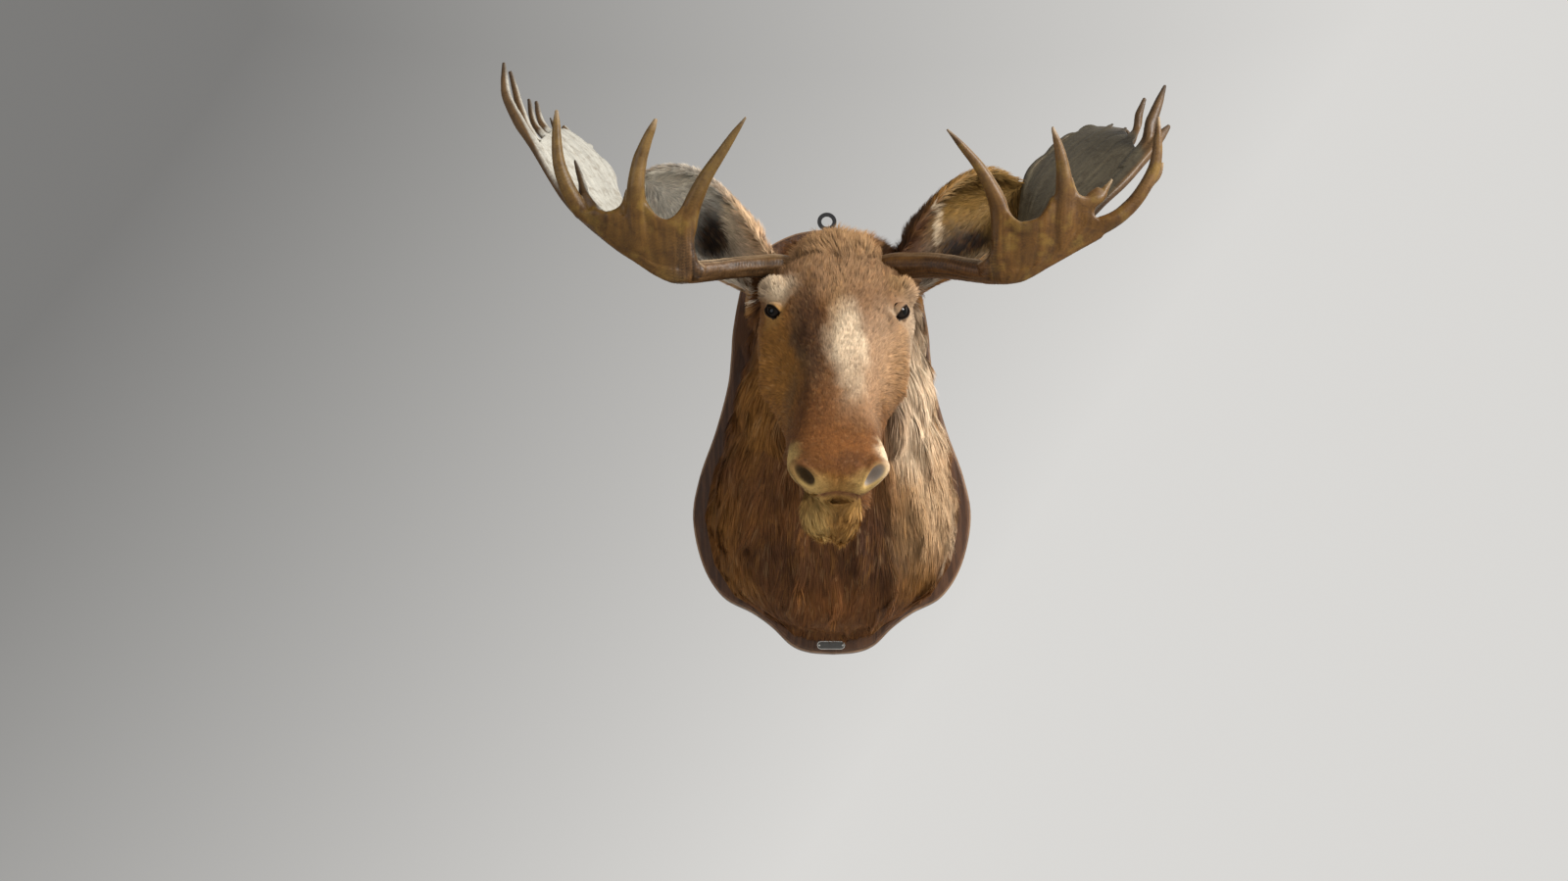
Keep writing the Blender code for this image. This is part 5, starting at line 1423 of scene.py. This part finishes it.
# ---- antlers
def antler_pieces(side):
    """Return the overlapping pieces that an antler is grown from."""
    looks = settings("antlers")
    girth = TINE_GIRTH[side]
    main_tines = [[(x, y, z, radius * girth if radius < TINE_ROOT else radius) for x, y, z, radius in strand]
                  for strand in MAIN_TINES[side]]
    strands = [BEAMS[side], *BROW_TINES[side], *main_tines, *WEBS[side], *PALM_RIMS[side]]
    return [
        tubes("Strands " + side, strands, 6, 5),
        sheet("Brow palm " + side, BROW_PALMS[side], looks.brow_palm_thickness),
        sheet("Main palm " + side, MAIN_PALMS[side], looks.main_palm_thickness)]


def palm_middle(rows, fine, places):
    """Return the points of a palm's middle sheet, the ways they face, and the nearest one to each place."""
    middle = baked(sheet("Middle", rows, 0.0, fine))
    spots, facing = positions(middle.data), vertex_normals(middle.data)
    bpy.data.objects.remove(middle)
    return spots, facing, nearest_of(spots, places)


def flatten(places, rows, half, keep):
    """Press what stands proud of a palm down towards its middle sheet, less and less beyond its edge."""
    spots, facing, nearest = palm_middle(rows, 4, places)
    offset, facing = places - spots[nearest], facing[nearest]
    height = np.sum(offset * facing, axis=1)
    beside = np.linalg.norm(offset - facing * height[:, None], axis=1)
    share = (1 - ramp(beside, 0.004, PRESS_REACH)) * (1 - ramp(np.abs(height), 0.030, 0.045))
    share *= 1 - (1 - ramp(np.abs(places[:, 0]), 0.262, 0.300)) * (1 - ramp(places[:, 2], 0.235, 0.270))
    proud = np.maximum(np.abs(height) - half, 0.0) * share * (1 - keep)
    return places - facing * (np.copysign(proud, height))[:, None], share


def growth_rows(side):
    """Return places in an antler with the way it grows there and which part it is."""
    rows = []
    strands = [(BEAMS[side][:8], BEAM_PART)]
    strands += [(strand, BROW_PART) for strand in (BEAMS[side][7:], *BROW_TINES[side])]
    strands += [(strand, MAIN_PART) for strand in MAIN_TINES[side]]
    for j in range(13):
        for palm, part in ((BROW_PALMS[side][::-1], BROW_PART), (MAIN_PALMS[side], MAIN_PART)):
            across = len(palm[0]) - 1
            strand = [tuple(at(row, across * j / 12)) for row in palm]
            strands.append((strand[::-1] if part == BROW_PART else strand, part))
    for strand, part in strands:
        line = [Vector(point[:3]) for point in smooth_line(strand, 8)]
        for here, ahead in zip(line, line[1:]):
            rows.append((here, (ahead - here).normalized(), part))
    return rows


def drawn_out(values, ways, places, step, doublings):
    """Smear values along the ways, as a grain of long streaks."""
    total = np.zeros(len(values))
    for sign in (-1, 1):
        ahead = nearest_of(places, places + ways * step * sign)
        smeared = values.copy()
        for _ in range(doublings):
            smeared = (smeared + smeared[ahead]) / 2
            ahead = ahead[ahead]
        total += smeared
    total -= total.mean()
    return total / total.std()


def build_antler_mesh(side):
    """Grow an antler, flatten its tines into the palms, and groove and colour it along its growth."""
    looks = settings("antlers")
    antler = fused("moose_antler_" + side, antler_pieces(side), looks.grid, ANTLER_SMOOTHING)
    mesh = antler.data
    places, edges = positions(mesh), edge_pairs(mesh)
    places, brow = flatten(places, BROW_PALMS[side], looks.brow_palm_thickness / 2, BROW_PRESS)
    places, main = flatten(places, MAIN_PALMS[side], looks.main_palm_thickness / 2, MAIN_PRESS)
    places = soften(places, edges, np.maximum(brow, main * 0.6) * 0.5, ANTLER_MELTING)
    move_to(mesh, places)
    normals = vertex_normals(mesh)
    rows = growth_rows(side)
    nearest = nearest_of([row[0] for row in rows], places)
    ways = np.array([tuple(row[1]) for row in rows])[nearest]
    ways = laid_flat(soften(ways, edges, 0.7, 12), normals)
    part = np.array([row[2] for row in rows])[nearest]
    seeds = np.random.default_rng(3).normal(0, 1, len(places))[:, None]
    fine = drawn_out(soften(seeds, edges, 0.6, 1)[:, 0], ways, places, 0.006, 3)
    broad = drawn_out(soften(seeds, edges, 0.7, 14)[:, 0], ways, places, 0.009, 4)
    beam = (1 - ramp(np.abs(places[:, 0]), 0.27, 0.34)) * (1 - ramp(places[:, 2], 0.25, 0.30))
    depth = looks.groove_depth * (beam + GROOVES_ELSEWHERE * (1 - beam))
    move_to(mesh, places + normals * (depth * (0.6 * np.clip(fine, -2, 2) + np.clip(broad, -2, 2)))[:, None])
    store_colours(mesh, "bone", bone_colours(side, places, normals, part, beam, fine, broad))
    mesh.shade_smooth()
    return antler


def bone_colours(side, places, normals, part, beam, fine, broad):
    """Return the colour of the antler at each place."""
    def paint(name, share):
        """Lay one of the antlers' colours over the others."""
        nonlocal colours
        colours = painted(colours, bone_shade(name), share)

    mottle, cloud = soft_noise(places, 45.0, 31), soft_noise(places, 16.0, 32)
    brow, main = part == BROW_PART, part == MAIN_PART
    colours = np.tile(bone_shade("brow " + side), (len(places), 1))
    paint("tine " + side, ramp(places[:, 2], 0.31, 0.40) * brow * 0.8)
    paint("palm back", main * 0.9)
    # The inner faces of the main palms: the pale left colour is painted light and the dark right colour is
    # painted shade, lit and shaded copies of one bone
    spots, facing, nearest = palm_middle(MAIN_PALMS[side], 3, places)
    inward = np.sum(normals * facing[nearest], axis=1) * np.sign(facing[:, 2].mean())
    close = 1 - ramp(np.linalg.norm(places - spots[nearest], axis=1), 0.010, 0.022)
    paint("palm " + side, ramp(inward, 0.0, 0.5) * close * main)
    # Painted light: the left main palm and its tines take the pale palm colour where they face the lamp on
    # the right
    if side == "left":
        paint("palm left", ramp(normals @ np.array((0.90, 0.0, 0.43)), 0.30, 0.85) * main * 0.85)
    paint("beam " + side, beam)
    patch = ramp(soft_noise(places, 30.0, 33) + 0.7 * soft_noise(places, 90.0, 34), 0.0, 0.9)
    paint("golden", 0.60 * patch * brow * (1 - beam))
    paint("dark", np.clip(0.40 * ramp(mottle, 0.1, 1.0) + 0.35 * ramp(cloud, 0.2, 1.4), 0, 1) * brow)
    # Painted shade: the undersides of the main palms are darkened, more on the right antler
    under = ramp(-normals[:, 2] - 0.4 * normals[:, 1], 0.25, 0.85)
    paint("dark", under * main * (0.7 if side == "right" else 0.35))
    # The tops of the beams are painted pale: partly painted highlight where the light falls, partly rubbed
    # wear along the grain
    upper = ramp(normals[:, 2], 0.25, 0.85)
    paint("worn", upper * beam * (0.45 + 0.35 * ramp(fine + broad, -1.0, 1.5)))
    # Edges that face the light are painted pale: partly painted highlight, partly rubbed wear
    edge = ramp(normals @ np.array(SHEEN_AND_WEAR_WAY[side]), 0.62, 0.92) * (part != MAIN_PART) * (1 - beam)
    paint("worn", edge * (0.30 + 0.30 * ramp(fine, -1.0, 1.5)))
    tips = np.zeros(len(places))
    for strand in MAIN_TINES[side]:
        tips = np.maximum(tips, 1 - ramp(distances(places, strand[-1][:3]), 0.012, 0.060))
    paint("tip", tips * 0.75)
    # Here only wear: the brow tines' tips are rubbed pale
    for strand in BROW_TINES[side]:
        paint("worn", (1 - ramp(distances(places, strand[-1][:3]), 0.004, 0.028)) * 0.55)
    streak = np.clip(fine, -2.2, 2.2)
    tone = 1 + STREAK_TONES[0] * beam * streak + STREAK_TONES[1] * streak
    tone += STREAK_TONES[2] * np.clip(broad, -2, 2)
    return np.clip(colours * np.clip(tone, 0.25, 1.8)[:, None], 0.004, 0.8)


def antler_material():
    """Return the finish of antler: its stored colour, which holds painted light and painted shade, and
    streaks, with fine pores and scratches.
    """
    finish = Finish("Antler")
    pores = finish.noise(finish.place(), 420.0, 3.0, 0.65)
    blotch = finish.noise(finish.place(), 55.0, 4.0, 0.6, 0.6)
    shade = finish.mix(
        blotch.step(0.45, 0.72) * 0.55, finish.stored("bone"), (0.42, 0.34, 0.26), "MULTIPLY")
    shade = finish.mix(pores.step(0.50, 0.75) * 0.45, shade, (0.38, 0.33, 0.30), "MULTIPLY")
    return finish.surface_is(
        Base_Color=shade, Roughness=pores * 0.25 + 0.34, Specular_IOR_Level=0.27,
        Normal=finish.bump(pores * 0.4 + blotch * 0.6, 0.0010, 0.5))


# ---- the shield and its fittings
def shield_outline():
    """Return the points of the shield's outline, in the plane of the wall."""
    half = smooth_line(SHIELD_HALF, 6)
    return [Vector((x, 0.0, z)) for x, z in half] + [Vector((-x, 0.0, z)) for x, z in half[-2:0:-1]]


def build_shield_mesh():
    """Build the wooden shield with its moulded edge."""
    bm = bmesh.new()
    rear = bm.faces.new([bm.verts.new(point) for point in shield_outline()])
    grown = bmesh.ops.extrude_face_region(bm, geom=[rear], use_keep_orig=True)["geom"]
    front = next(item for item in grown if isinstance(item, bmesh.types.BMFace))
    bmesh.ops.translate(bm, verts=front.verts, vec=(0.0, -settings("shield").edge_height, 0.0))
    bmesh.ops.recalc_face_normals(bm, faces=bm.faces)
    for width, depth in SHIELD_PROFILE:
        bmesh.ops.inset_region(bm, faces=[front], thickness=width, depth=depth, use_even_offset=True)
    shield = mesh_object("moose_shield", bm)
    shield.data.shade_smooth()
    shield.data.set_sharp_from_angle(angle=SHARP_ANGLE)
    return shield


def eye_material(side):
    """Return the finish of an eye: a dark iris round a black pupil."""
    looks = settings("eyes")
    finish = Finish("Eye " + side)
    middle = eye_centre(side) + directions(LOOKS[side])[0] * looks.radius
    away = finish.node("ShaderNodeVectorMath", {"operation": "DISTANCE"}, {0: finish.place(), 1: middle}, 1)
    rays = finish.noise(finish.place(), 900.0, 2.0)
    iris = finish.mix(rays, looks.iris, looks.iris_rays)
    ring = (away / looks.radius + rays * 0.06).step(0.30, 0.42)
    return finish.surface_is(
        Base_Color=finish.mix(ring, looks.pupil, iris), Roughness=rays * 0.04 + 0.08,
        Specular_IOR_Level=0.14)


def wood_material():
    """Return the finish of oiled walnut, with its grain upright."""
    looks = settings("shield")
    finish = Finish("Walnut")
    rings = finish.noise(finish.place((9.0, 9.0, 0.8)), 3.0, 4.0, 0.55, 1.4)
    figure = finish.math("SINE", rings * 26.0) * 0.5 + 0.5
    pores = finish.noise(finish.place((1.0, 1.0, 0.045)), 900.0, 3.0, 0.6).step(0.50, 0.72)
    cloud = finish.noise(finish.place((1.0, 1.0, 0.45)), 7.0, 3.0)
    grain = finish.mix(figure * 0.55 + cloud * 0.45, looks.dark_grain, looks.light_grain)
    grain = finish.mix(pores * 0.55, grain, looks.pores, "MULTIPLY")
    depth = finish.axis(finish.place(), 1)
    # The ledge of the moulded edge is painted pale: a painted highlight along it, patched by noise like wear
    ledge = depth.step(LEDGE[0] - LEDGE_BLUR, LEDGE[0]) * (1 - depth.step(LEDGE[1], LEDGE[1] + LEDGE_BLUR))
    worn = ledge * (finish.noise(finish.place(), 22.0, 4.0).step(0.25, 0.60) * 0.7 + 0.3)
    return finish.surface_is(
        Base_Color=finish.mix(worn * 0.8, grain, looks.worn_edge), Roughness=cloud * 0.16 + 0.28,
        Specular_IOR_Level=0.32, Normal=finish.bump(figure * 0.3 + (1 - pores) * 0.7, 0.0004, 0.5))


def paint_material():
    """Return the finish of the hanger: black paint on iron, rubbed thin in places."""
    looks = settings("fittings")
    finish = Finish("Black paint")
    wear = finish.noise(finish.place(), 260.0, 5.0, 0.7)
    bare = wear.step(0.62, 0.78)
    return finish.surface_is(
        Base_Color=finish.mix(bare * 0.5, looks.paint, looks.rubbed_paint),
        Metallic=bare * 0.6, Roughness=wear * 0.3 + 0.25, Normal=finish.bump(wear, 0.0002, 0.6))


def steel_material(name, metal, roughness):
    """Return the finish of a bright metal with fine scratches and dull spots."""
    finish = Finish(name)
    wear = finish.noise(finish.place(), 700.0, 4.0, 0.7)
    return finish.surface_is(
        Base_Color=finish.mix(wear.step(0.45, 0.80) * 0.6, metal, settings("fittings").dull_spots),
        Metallic=1.0, Roughness=wear * 0.25 + roughness)


def nameplate_material(field_front):
    """Return the finish of the bare nameplate: a bright rim round a dark, brushed field."""
    looks = settings("fittings")
    finish = Finish("Nameplate")
    field = finish.axis(finish.place(), 1).step(field_front - 0.00020, field_front - 0.00010)
    brushed = finish.noise(finish.place((0.06, 1.0, 1.0)), 2600.0, 3.0)
    tarnish = finish.noise(finish.place(), 260.0, 4.0)
    dark = finish.mix(brushed, looks.plate_field, looks.plate_brushing)
    bright = finish.mix(tarnish.step(0.5, 0.8) * 0.5, looks.plate_rim, looks.dull_spots)
    return finish.surface_is(
        Base_Color=finish.mix(field, bright, dark), Metallic=1.0 - field * 0.35,
        Roughness=brushed * 0.16 + 0.24)


def dress_fittings():
    """Give the hanger, its screws, the nameplate and its pins their metals."""
    looks = settings("fittings")
    plate_front = positions(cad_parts["nameplate"].data)[:, 1].min()
    finishes = {
        "hanger_screw": steel_material("Screw steel", looks.screw_steel, 0.30), "hanger": paint_material(),
        "nameplate_pin": steel_material("Pin steel", looks.pin_steel, 0.16),
        "nameplate": nameplate_material(plate_front + looks.field_depth)}
    for node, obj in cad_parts.items():
        for start, material in finishes.items():
            if node.startswith(start):
                dress(obj, material)
                break


def build_eyes():
    """Build the two eyeballs in their sockets."""
    for side in SIDES:
        eye = ball("moose_eye_" + side, eye_centre(side), [settings("eyes").radius] * 3, 0.0, 48)
        eye.data.shade_smooth()
        finish_piece(eye, "root", "eye_glass", eye_material(side), "eye_" + side)


def build_stage():
    """Build the floor, the sky, the lights and the camera."""
    scene = bpy.context.scene
    looks = settings("stage")
    bm = bmesh.new()
    bmesh.ops.create_circle(bm, cap_ends=True, segments=96, radius=FLOOR_RADIUS)
    bmesh.ops.translate(bm, verts=bm.verts, vec=(0.0, FLOOR_MIDDLE, looks.floor_height))
    floor = mesh_object("floor", bm)
    finish = Finish("Floor")
    mottle = finish.noise(finish.place(), 3.0)
    dress(floor, finish.surface_is(
        Base_Color=finish.mix(mottle * 0.2, looks.floor_colour, looks.floor_mottle), Roughness=0.8))
    scene.view_settings.view_transform = "Standard"
    scene.world = bpy.data.worlds.new("Studio")
    scene.world.use_nodes = True
    tree = scene.world.node_tree
    studio = Finish("Studio", tree, tree.nodes["Background"])
    way = studio.node("ShaderNodeTexCoord", {}, {})
    across, up = studio.axis(way, 0), studio.axis(way, 2).between(*SKY_BAND)
    glow = across * SKY_SLOPE[0] + up * SKY_SLOPE[1] + looks.sky_level
    studio.surface_is(Color=looks.sky_colour, Strength=glow.between(*SKY_LIMITS))
    powers = {"Window": looks.window_power, "Fill": looks.fill_power}
    for name, (place, target, size, tint) in LIGHTS.items():
        data = bpy.data.lights.new(name, "AREA")
        data.shape, data.size, data.energy, data.color = "DISK", size, powers[name], tint
        light = link(name, data)
        light.location = place
        light.rotation_euler = (Vector(target) - Vector(place)).to_track_quat("-Z", "Y").to_euler()
    data = bpy.data.cameras.new("Camera")
    data.sensor_width, data.lens = 36.0, looks.lens
    data.clip_end = 50.0
    camera = link("Camera", data)
    camera.location = CAMERA_PLACE
    camera.rotation_euler = CAMERA_TURN
    scene.camera = camera


# ---- the add-on's settings
def colour(name, description, default):
    """Return the setting of a colour."""
    return bpy.props.FloatVectorProperty(
        name=name, description=description, default=default, size=3, min=0.0, max=1.0, subtype="COLOR")


def length(name, description, default):
    """Return the setting of a length in metres."""
    return bpy.props.FloatProperty(
        name=name, description=description, default=default, precision=4, unit="LENGTH")


def share(name, description, default):
    """Return the setting of a share or factor."""
    return bpy.props.FloatProperty(
        name=name, description=description, default=default, min=0.0, soft_max=2.0, subtype="FACTOR")


def power(name, description, default):
    """Return the setting of a lamp's power in watts."""
    return bpy.props.FloatProperty(name=name, description=description, default=default, min=0.0, unit="POWER")


class MooseStageSettings(bpy.types.PropertyGroup):
    """The floor, the sky, the lights and the camera."""

    floor_height: length("Floor height", "Height of the floor below the middle of the frame", -1.3)
    floor_colour: colour("Floor", "The floor's pale grey", (0.62, 0.61, 0.59))
    floor_mottle: colour("Floor mottle", "The slightly darker patches of the floor", (0.56, 0.55, 0.53))
    sky_colour: colour("Sky", "The tint of the soft light all round", (1.0, 0.985, 0.955))
    sky_level: share("Sky level", "Strength of the soft light straight ahead", 0.67)
    window_power: power("Window", "Power of the large lamp on the right", 225.0)
    fill_power: power("Fill", "Power of the soft lamp on the left", 34.0)
    lens: bpy.props.FloatProperty(
        name="Lens", description="Focal length of the camera", default=36.0 * 1555.0 / 1600.0, min=1.0,
        unit="CAMERA")


class MooseCoatSettings(bpy.types.PropertyGroup):
    """The skin and its hair."""

    skin_grid: length("Skin grid", "Size of the squares that the skin is grown from", 0.0054)
    neck_room: length("Neck room", "Room left for the hair over the skin of the neck", 0.012)
    hair_length: share("Hair length", "Length of the hair against its natural length", 1.0)
    hair_width: length("Hair width", "Width of the widest hair", 0.0018)
    mid_brown: colour("Mid brown", "The brown of the neck and most of the coat", (0.15, 0.06, 0.018))
    dark_brown: colour("Dark brown", "The dark hair of the brisket and the streaks", (0.06, 0.024, 0.01))
    gold: colour("Gold", "The golden hair of the left cheek and the tips on the neck", (0.32, 0.145, 0.030))
    olive_gold: colour("Olive gold", "The olive gold hair inside the right ear", (0.185, 0.105, 0.027))
    amber: colour("Amber", "The amber hair on the right of the beard", (0.27, 0.125, 0.028))
    pale_tan: colour("Pale tan", "The pale tan streaks in the coat", (0.46, 0.28, 0.13))
    # Cream and bright cream are partly painted light: on the cream streak down the bridge and on the right of
    # the neck
    cream: colour("Cream", "The cream streak down the face and over the left eye", (0.68, 0.55, 0.38))
    bright_cream: colour("Bright cream", "The palest hair, on the right of the neck", (0.82, 0.64, 0.44))
    light_tan: colour("Light tan", "The light tan hair low on the right of the neck", (0.6, 0.41, 0.24))
    pink: colour("Pink", "The pinkish tan of the right cheek", (0.48, 0.31, 0.185))
    rust: colour("Rust", "The rusty hair on top of the muzzle", (0.225, 0.084, 0.022))
    # Grey and ear tan are partly painted light on the left ear
    grey: colour("Grey", "The pale grey hair inside the left ear", (0.78, 0.73, 0.62))
    ear_tan: colour("Ear tan", "The tan hair on the inner edge of the left ear", (0.8, 0.56, 0.34))
    # Near black is painted shade in the ears' hollows, and the lids' own dark rims
    near_black: colour("Near black", "The black of the ears' hollows and the lids", (0.016, 0.01, 0.007))
    pink_tan: colour("Pink tan", "The pinkish tan low on the bridge of the nose", (0.36, 0.2, 0.1))
    # Grey brown is partly painted shade: in the band left of the cream streak and along the folds of the
    # cheeks
    grey_brown: colour("Grey brown", "The grey brown bands beside the cream streak", (0.12, 0.07, 0.034))
    straw: colour("Straw", "The straw hair round the nostrils and lips", (0.68, 0.47, 0.17))
    # Lit and shaded copies of one colour: painted shade in the left nostril, painted light in the right
    nostril_left: colour("Nostril left", "The inside of the left nostril, in shade", (0.06, 0.036, 0.014))
    nostril_right: colour("Nostril right", "The inside of the right nostril, in light", (0.3, 0.26, 0.225))
    straw_gold: colour("Straw gold", "The hair of the beard and by the left eye", (0.44, 0.25, 0.075))
    forehead: colour("Forehead", "The greyish tan hair of the forehead", (0.33, 0.195, 0.1))
    lip: colour("Lip", "The dark red line between the lips", (0.2, 0.075, 0.04))


class MooseEyeSettings(bpy.types.PropertyGroup):
    """The glass eyes."""

    radius: length("Radius", "Radius of an eyeball", 0.019)
    iris: colour("Iris", "The dark brown of the iris", (0.005, 0.003, 0.002))
    iris_rays: colour("Iris rays", "The paler rays of the iris", (0.016, 0.009, 0.005))
    pupil: colour("Pupil", "The black of the pupil", (0.002, 0.002, 0.002))


class MooseAntlerSettings(bpy.types.PropertyGroup):
    """The antlers."""

    grid: length("Grid", "Size of the squares that the antlers are grown from", 0.0026)
    brow_palm_thickness: length("Brow palm", "Thickness of the brow palms", 0.015)
    main_palm_thickness: length("Main palm", "Thickness of the main palms", 0.011)
    groove_depth: length("Grooves", "Depth of the grooves in the beams", 0.00075)
    brow_left: colour("Brow left", "The brown of the left brow palm", (0.108, 0.05, 0.008))
    brow_right: colour("Brow right", "The brown of the right brow palm", (0.102, 0.044, 0.006))
    tine_left: colour("Tine left", "The paler brown of the left brow tines", (0.165, 0.098, 0.03))
    tine_right: colour("Tine right", "The paler brown of the right brow tines", (0.15, 0.082, 0.03))
    beam_left: colour("Beam left", "The dark grooves of the left beam", (0.092, 0.047, 0.018))
    beam_right: colour("Beam right", "The dark grooves of the right beam", (0.080, 0.034, 0.009))
    # Palm left and palm right are lit and shaded copies of one bone colour: painted light and painted shade
    palm_left: colour("Palm left", "The bleached inner face of the left main palm", (0.46, 0.44, 0.38))
    palm_right: colour("Palm right", "The inner face of the right main palm", (0.078, 0.063, 0.038))
    palm_back: colour("Palm back", "The outer faces of the main palms and their tines", (0.11, 0.062, 0.026))
    # Dark is both the real stains of the brow palms and painted shade on the main palms' undersides
    dark: colour("Dark", "The dark stains and undersides", (0.045, 0.02, 0.007))
    golden: colour("Golden", "The golden stains on the brow palms", (0.19, 0.11, 0.02))
    # Worn and sheen is partly rubbed wear and partly painted highlight on the tops and edges that face the
    # light
    worn: colour("Worn", "The rubbed edges and tips", (0.36, 0.265, 0.165))
    tip: colour("Tip", "The dark tips of the main tines", (0.045, 0.028, 0.016))


class MooseShieldSettings(bpy.types.PropertyGroup):
    """The wooden shield."""

    edge_height: length("Edge height", "How far the full outline runs forward from the wall", 0.0105)
    dark_grain: colour("Dark grain", "The dark rings of the walnut", (0.032, 0.0135, 0.0065))
    light_grain: colour("Light grain", "The light rings of the walnut", (0.115, 0.052, 0.024))
    pores: colour("Pores", "How the open pores darken the wood", (0.30, 0.24, 0.22))
    # A pale painted highlight along the ledge, patched like wear
    worn_edge: colour("Worn edge", "The rubbed ledge of the moulded edge", (0.30, 0.19, 0.115))


class MooseFittingSettings(bpy.types.PropertyGroup):
    """The hanger, its screws, the bare nameplate and its pins."""

    paint: colour("Paint", "The black paint of the hanger", (0.010, 0.010, 0.011))
    rubbed_paint: colour("Rubbed paint", "The iron that shows where the paint is rubbed", (0.10, 0.09, 0.08))
    screw_steel: colour("Screw steel", "The grey steel of the screws", (0.42, 0.41, 0.39))
    pin_steel: colour("Pin steel", "The bright steel of the nameplate's pins", (0.85, 0.84, 0.80))
    plate_rim: colour("Plate rim", "The bright rim of the nameplate", (0.80, 0.79, 0.75))
    plate_field: colour("Plate field", "The dark field of the nameplate", (0.055, 0.054, 0.052))
    plate_brushing: colour("Plate brushing", "The brushed streaks in the field", (0.150, 0.148, 0.140))
    dull_spots: colour("Dull spots", "The dull spots on bright metal", (0.20, 0.18, 0.15))
    field_depth: length("Field depth", "How far the field is sunk behind the rim", 0.0004)


# ---- the add-on's operators and panel
class MOOSE_OT_stage(bpy.types.Operator):
    """Build the floor, the sky, the lights and the camera"""

    bl_idname = "moose.stage"
    bl_label = "Build stage"

    def execute(self, context):
        build_stage()
        return {"FINISHED"}


class MOOSE_OT_skin(bpy.types.Operator):
    """Grow the skin of the head and neck, open round the eyes and the beams"""

    bl_idname = "moose.skin"
    bl_label = "Build skin"

    def execute(self, context):
        finish_piece(build_skin_mesh(), "root", "hide", coat_material("Coat"), "head_and_neck_skin")
        return {"FINISHED"}


class MOOSE_OT_hair(bpy.types.Operator):
    """Colour the skin and grow the hair out of it"""

    bl_idname = "moose.hair"
    bl_label = "Build hair"

    def execute(self, context):
        build_fur(bpy.data.objects["moose_skin"])
        return {"FINISHED"}


class MOOSE_OT_eyes(bpy.types.Operator):
    """Build the two glass eyes"""

    bl_idname = "moose.eyes"
    bl_label = "Build eyes"

    def execute(self, context):
        build_eyes()
        return {"FINISHED"}


class MOOSE_OT_antlers(bpy.types.Operator):
    """Grow the two antlers, each a beam with a brow palm and a main palm"""

    bl_idname = "moose.antlers"
    bl_label = "Build antlers"

    def execute(self, context):
        for side in SIDES:
            nodes = [f"antler_{side}_{name}" for name in ("beam", "brow_palm", "main_palm")]
            finish_piece(build_antler_mesh(side), "root", "antler_palm", antler_material(), *nodes)
        return {"FINISHED"}


class MOOSE_OT_shield(bpy.types.Operator):
    """Build the wooden shield with its moulded edge"""

    bl_idname = "moose.shield"
    bl_label = "Build shield"

    def execute(self, context):
        finish_piece(build_shield_mesh(), "root", "shield_wood", wood_material(), "shield")
        return {"FINISHED"}


class MOOSE_OT_fittings(bpy.types.Operator):
    """Finish the hanger, its screws, the nameplate and its pins"""

    bl_idname = "moose.fittings"
    bl_label = "Finish fittings"

    def execute(self, context):
        dress_fittings()
        return {"FINISHED"}


class VIEW3D_PT_moose(bpy.types.Panel):
    """The settings and the building steps of the mounted head"""

    bl_label = "Mounted moose head"
    bl_space_type = "VIEW_3D"
    bl_region_type = "UI"
    bl_category = "Moose"

    def draw(self, context):
        for group, operators in PANEL_ROWS:
            box = self.layout.box()
            looks = getattr(context.scene, group)
            for name in SETTINGS[group].__annotations__:
                box.prop(looks, name)
            for operator in operators:
                box.operator(operator.bl_idname)


SETTINGS = {
    "moose_stage": MooseStageSettings, "moose_coat": MooseCoatSettings, "moose_eyes": MooseEyeSettings,
    "moose_antlers": MooseAntlerSettings, "moose_shield": MooseShieldSettings,
    "moose_fittings": MooseFittingSettings}
PANEL_ROWS = (
    ("moose_stage", (MOOSE_OT_stage,)), ("moose_coat", (MOOSE_OT_skin, MOOSE_OT_hair)),
    ("moose_eyes", (MOOSE_OT_eyes,)), ("moose_antlers", (MOOSE_OT_antlers,)),
    ("moose_shield", (MOOSE_OT_shield,)), ("moose_fittings", (MOOSE_OT_fittings,)))
CLASSES = (
    *SETTINGS.values(), MOOSE_OT_stage, MOOSE_OT_skin, MOOSE_OT_hair, MOOSE_OT_eyes, MOOSE_OT_antlers,
    MOOSE_OT_shield, MOOSE_OT_fittings, VIEW3D_PT_moose)


def register():
    """Register the add-on's classes and give the scene its settings."""
    for each in CLASSES:
        bpy.utils.register_class(each)
    for name, group in SETTINGS.items():
        setattr(bpy.types.Scene, name, bpy.props.PointerProperty(type=group))


def unregister():
    """Take the settings and the classes away again."""
    for name in SETTINGS:
        delattr(bpy.types.Scene, name)
    for each in reversed(CLASSES):
        bpy.utils.unregister_class(each)


def main():
    """Build the whole object."""
    register()
    bpy.ops.moose.stage()
    bpy.ops.moose.skin()
    bpy.ops.moose.hair()
    bpy.ops.moose.eyes()
    bpy.ops.moose.antlers()
    bpy.ops.moose.shield()
    bpy.ops.moose.fittings()
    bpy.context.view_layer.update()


if __name__ == "__main__":
    main()
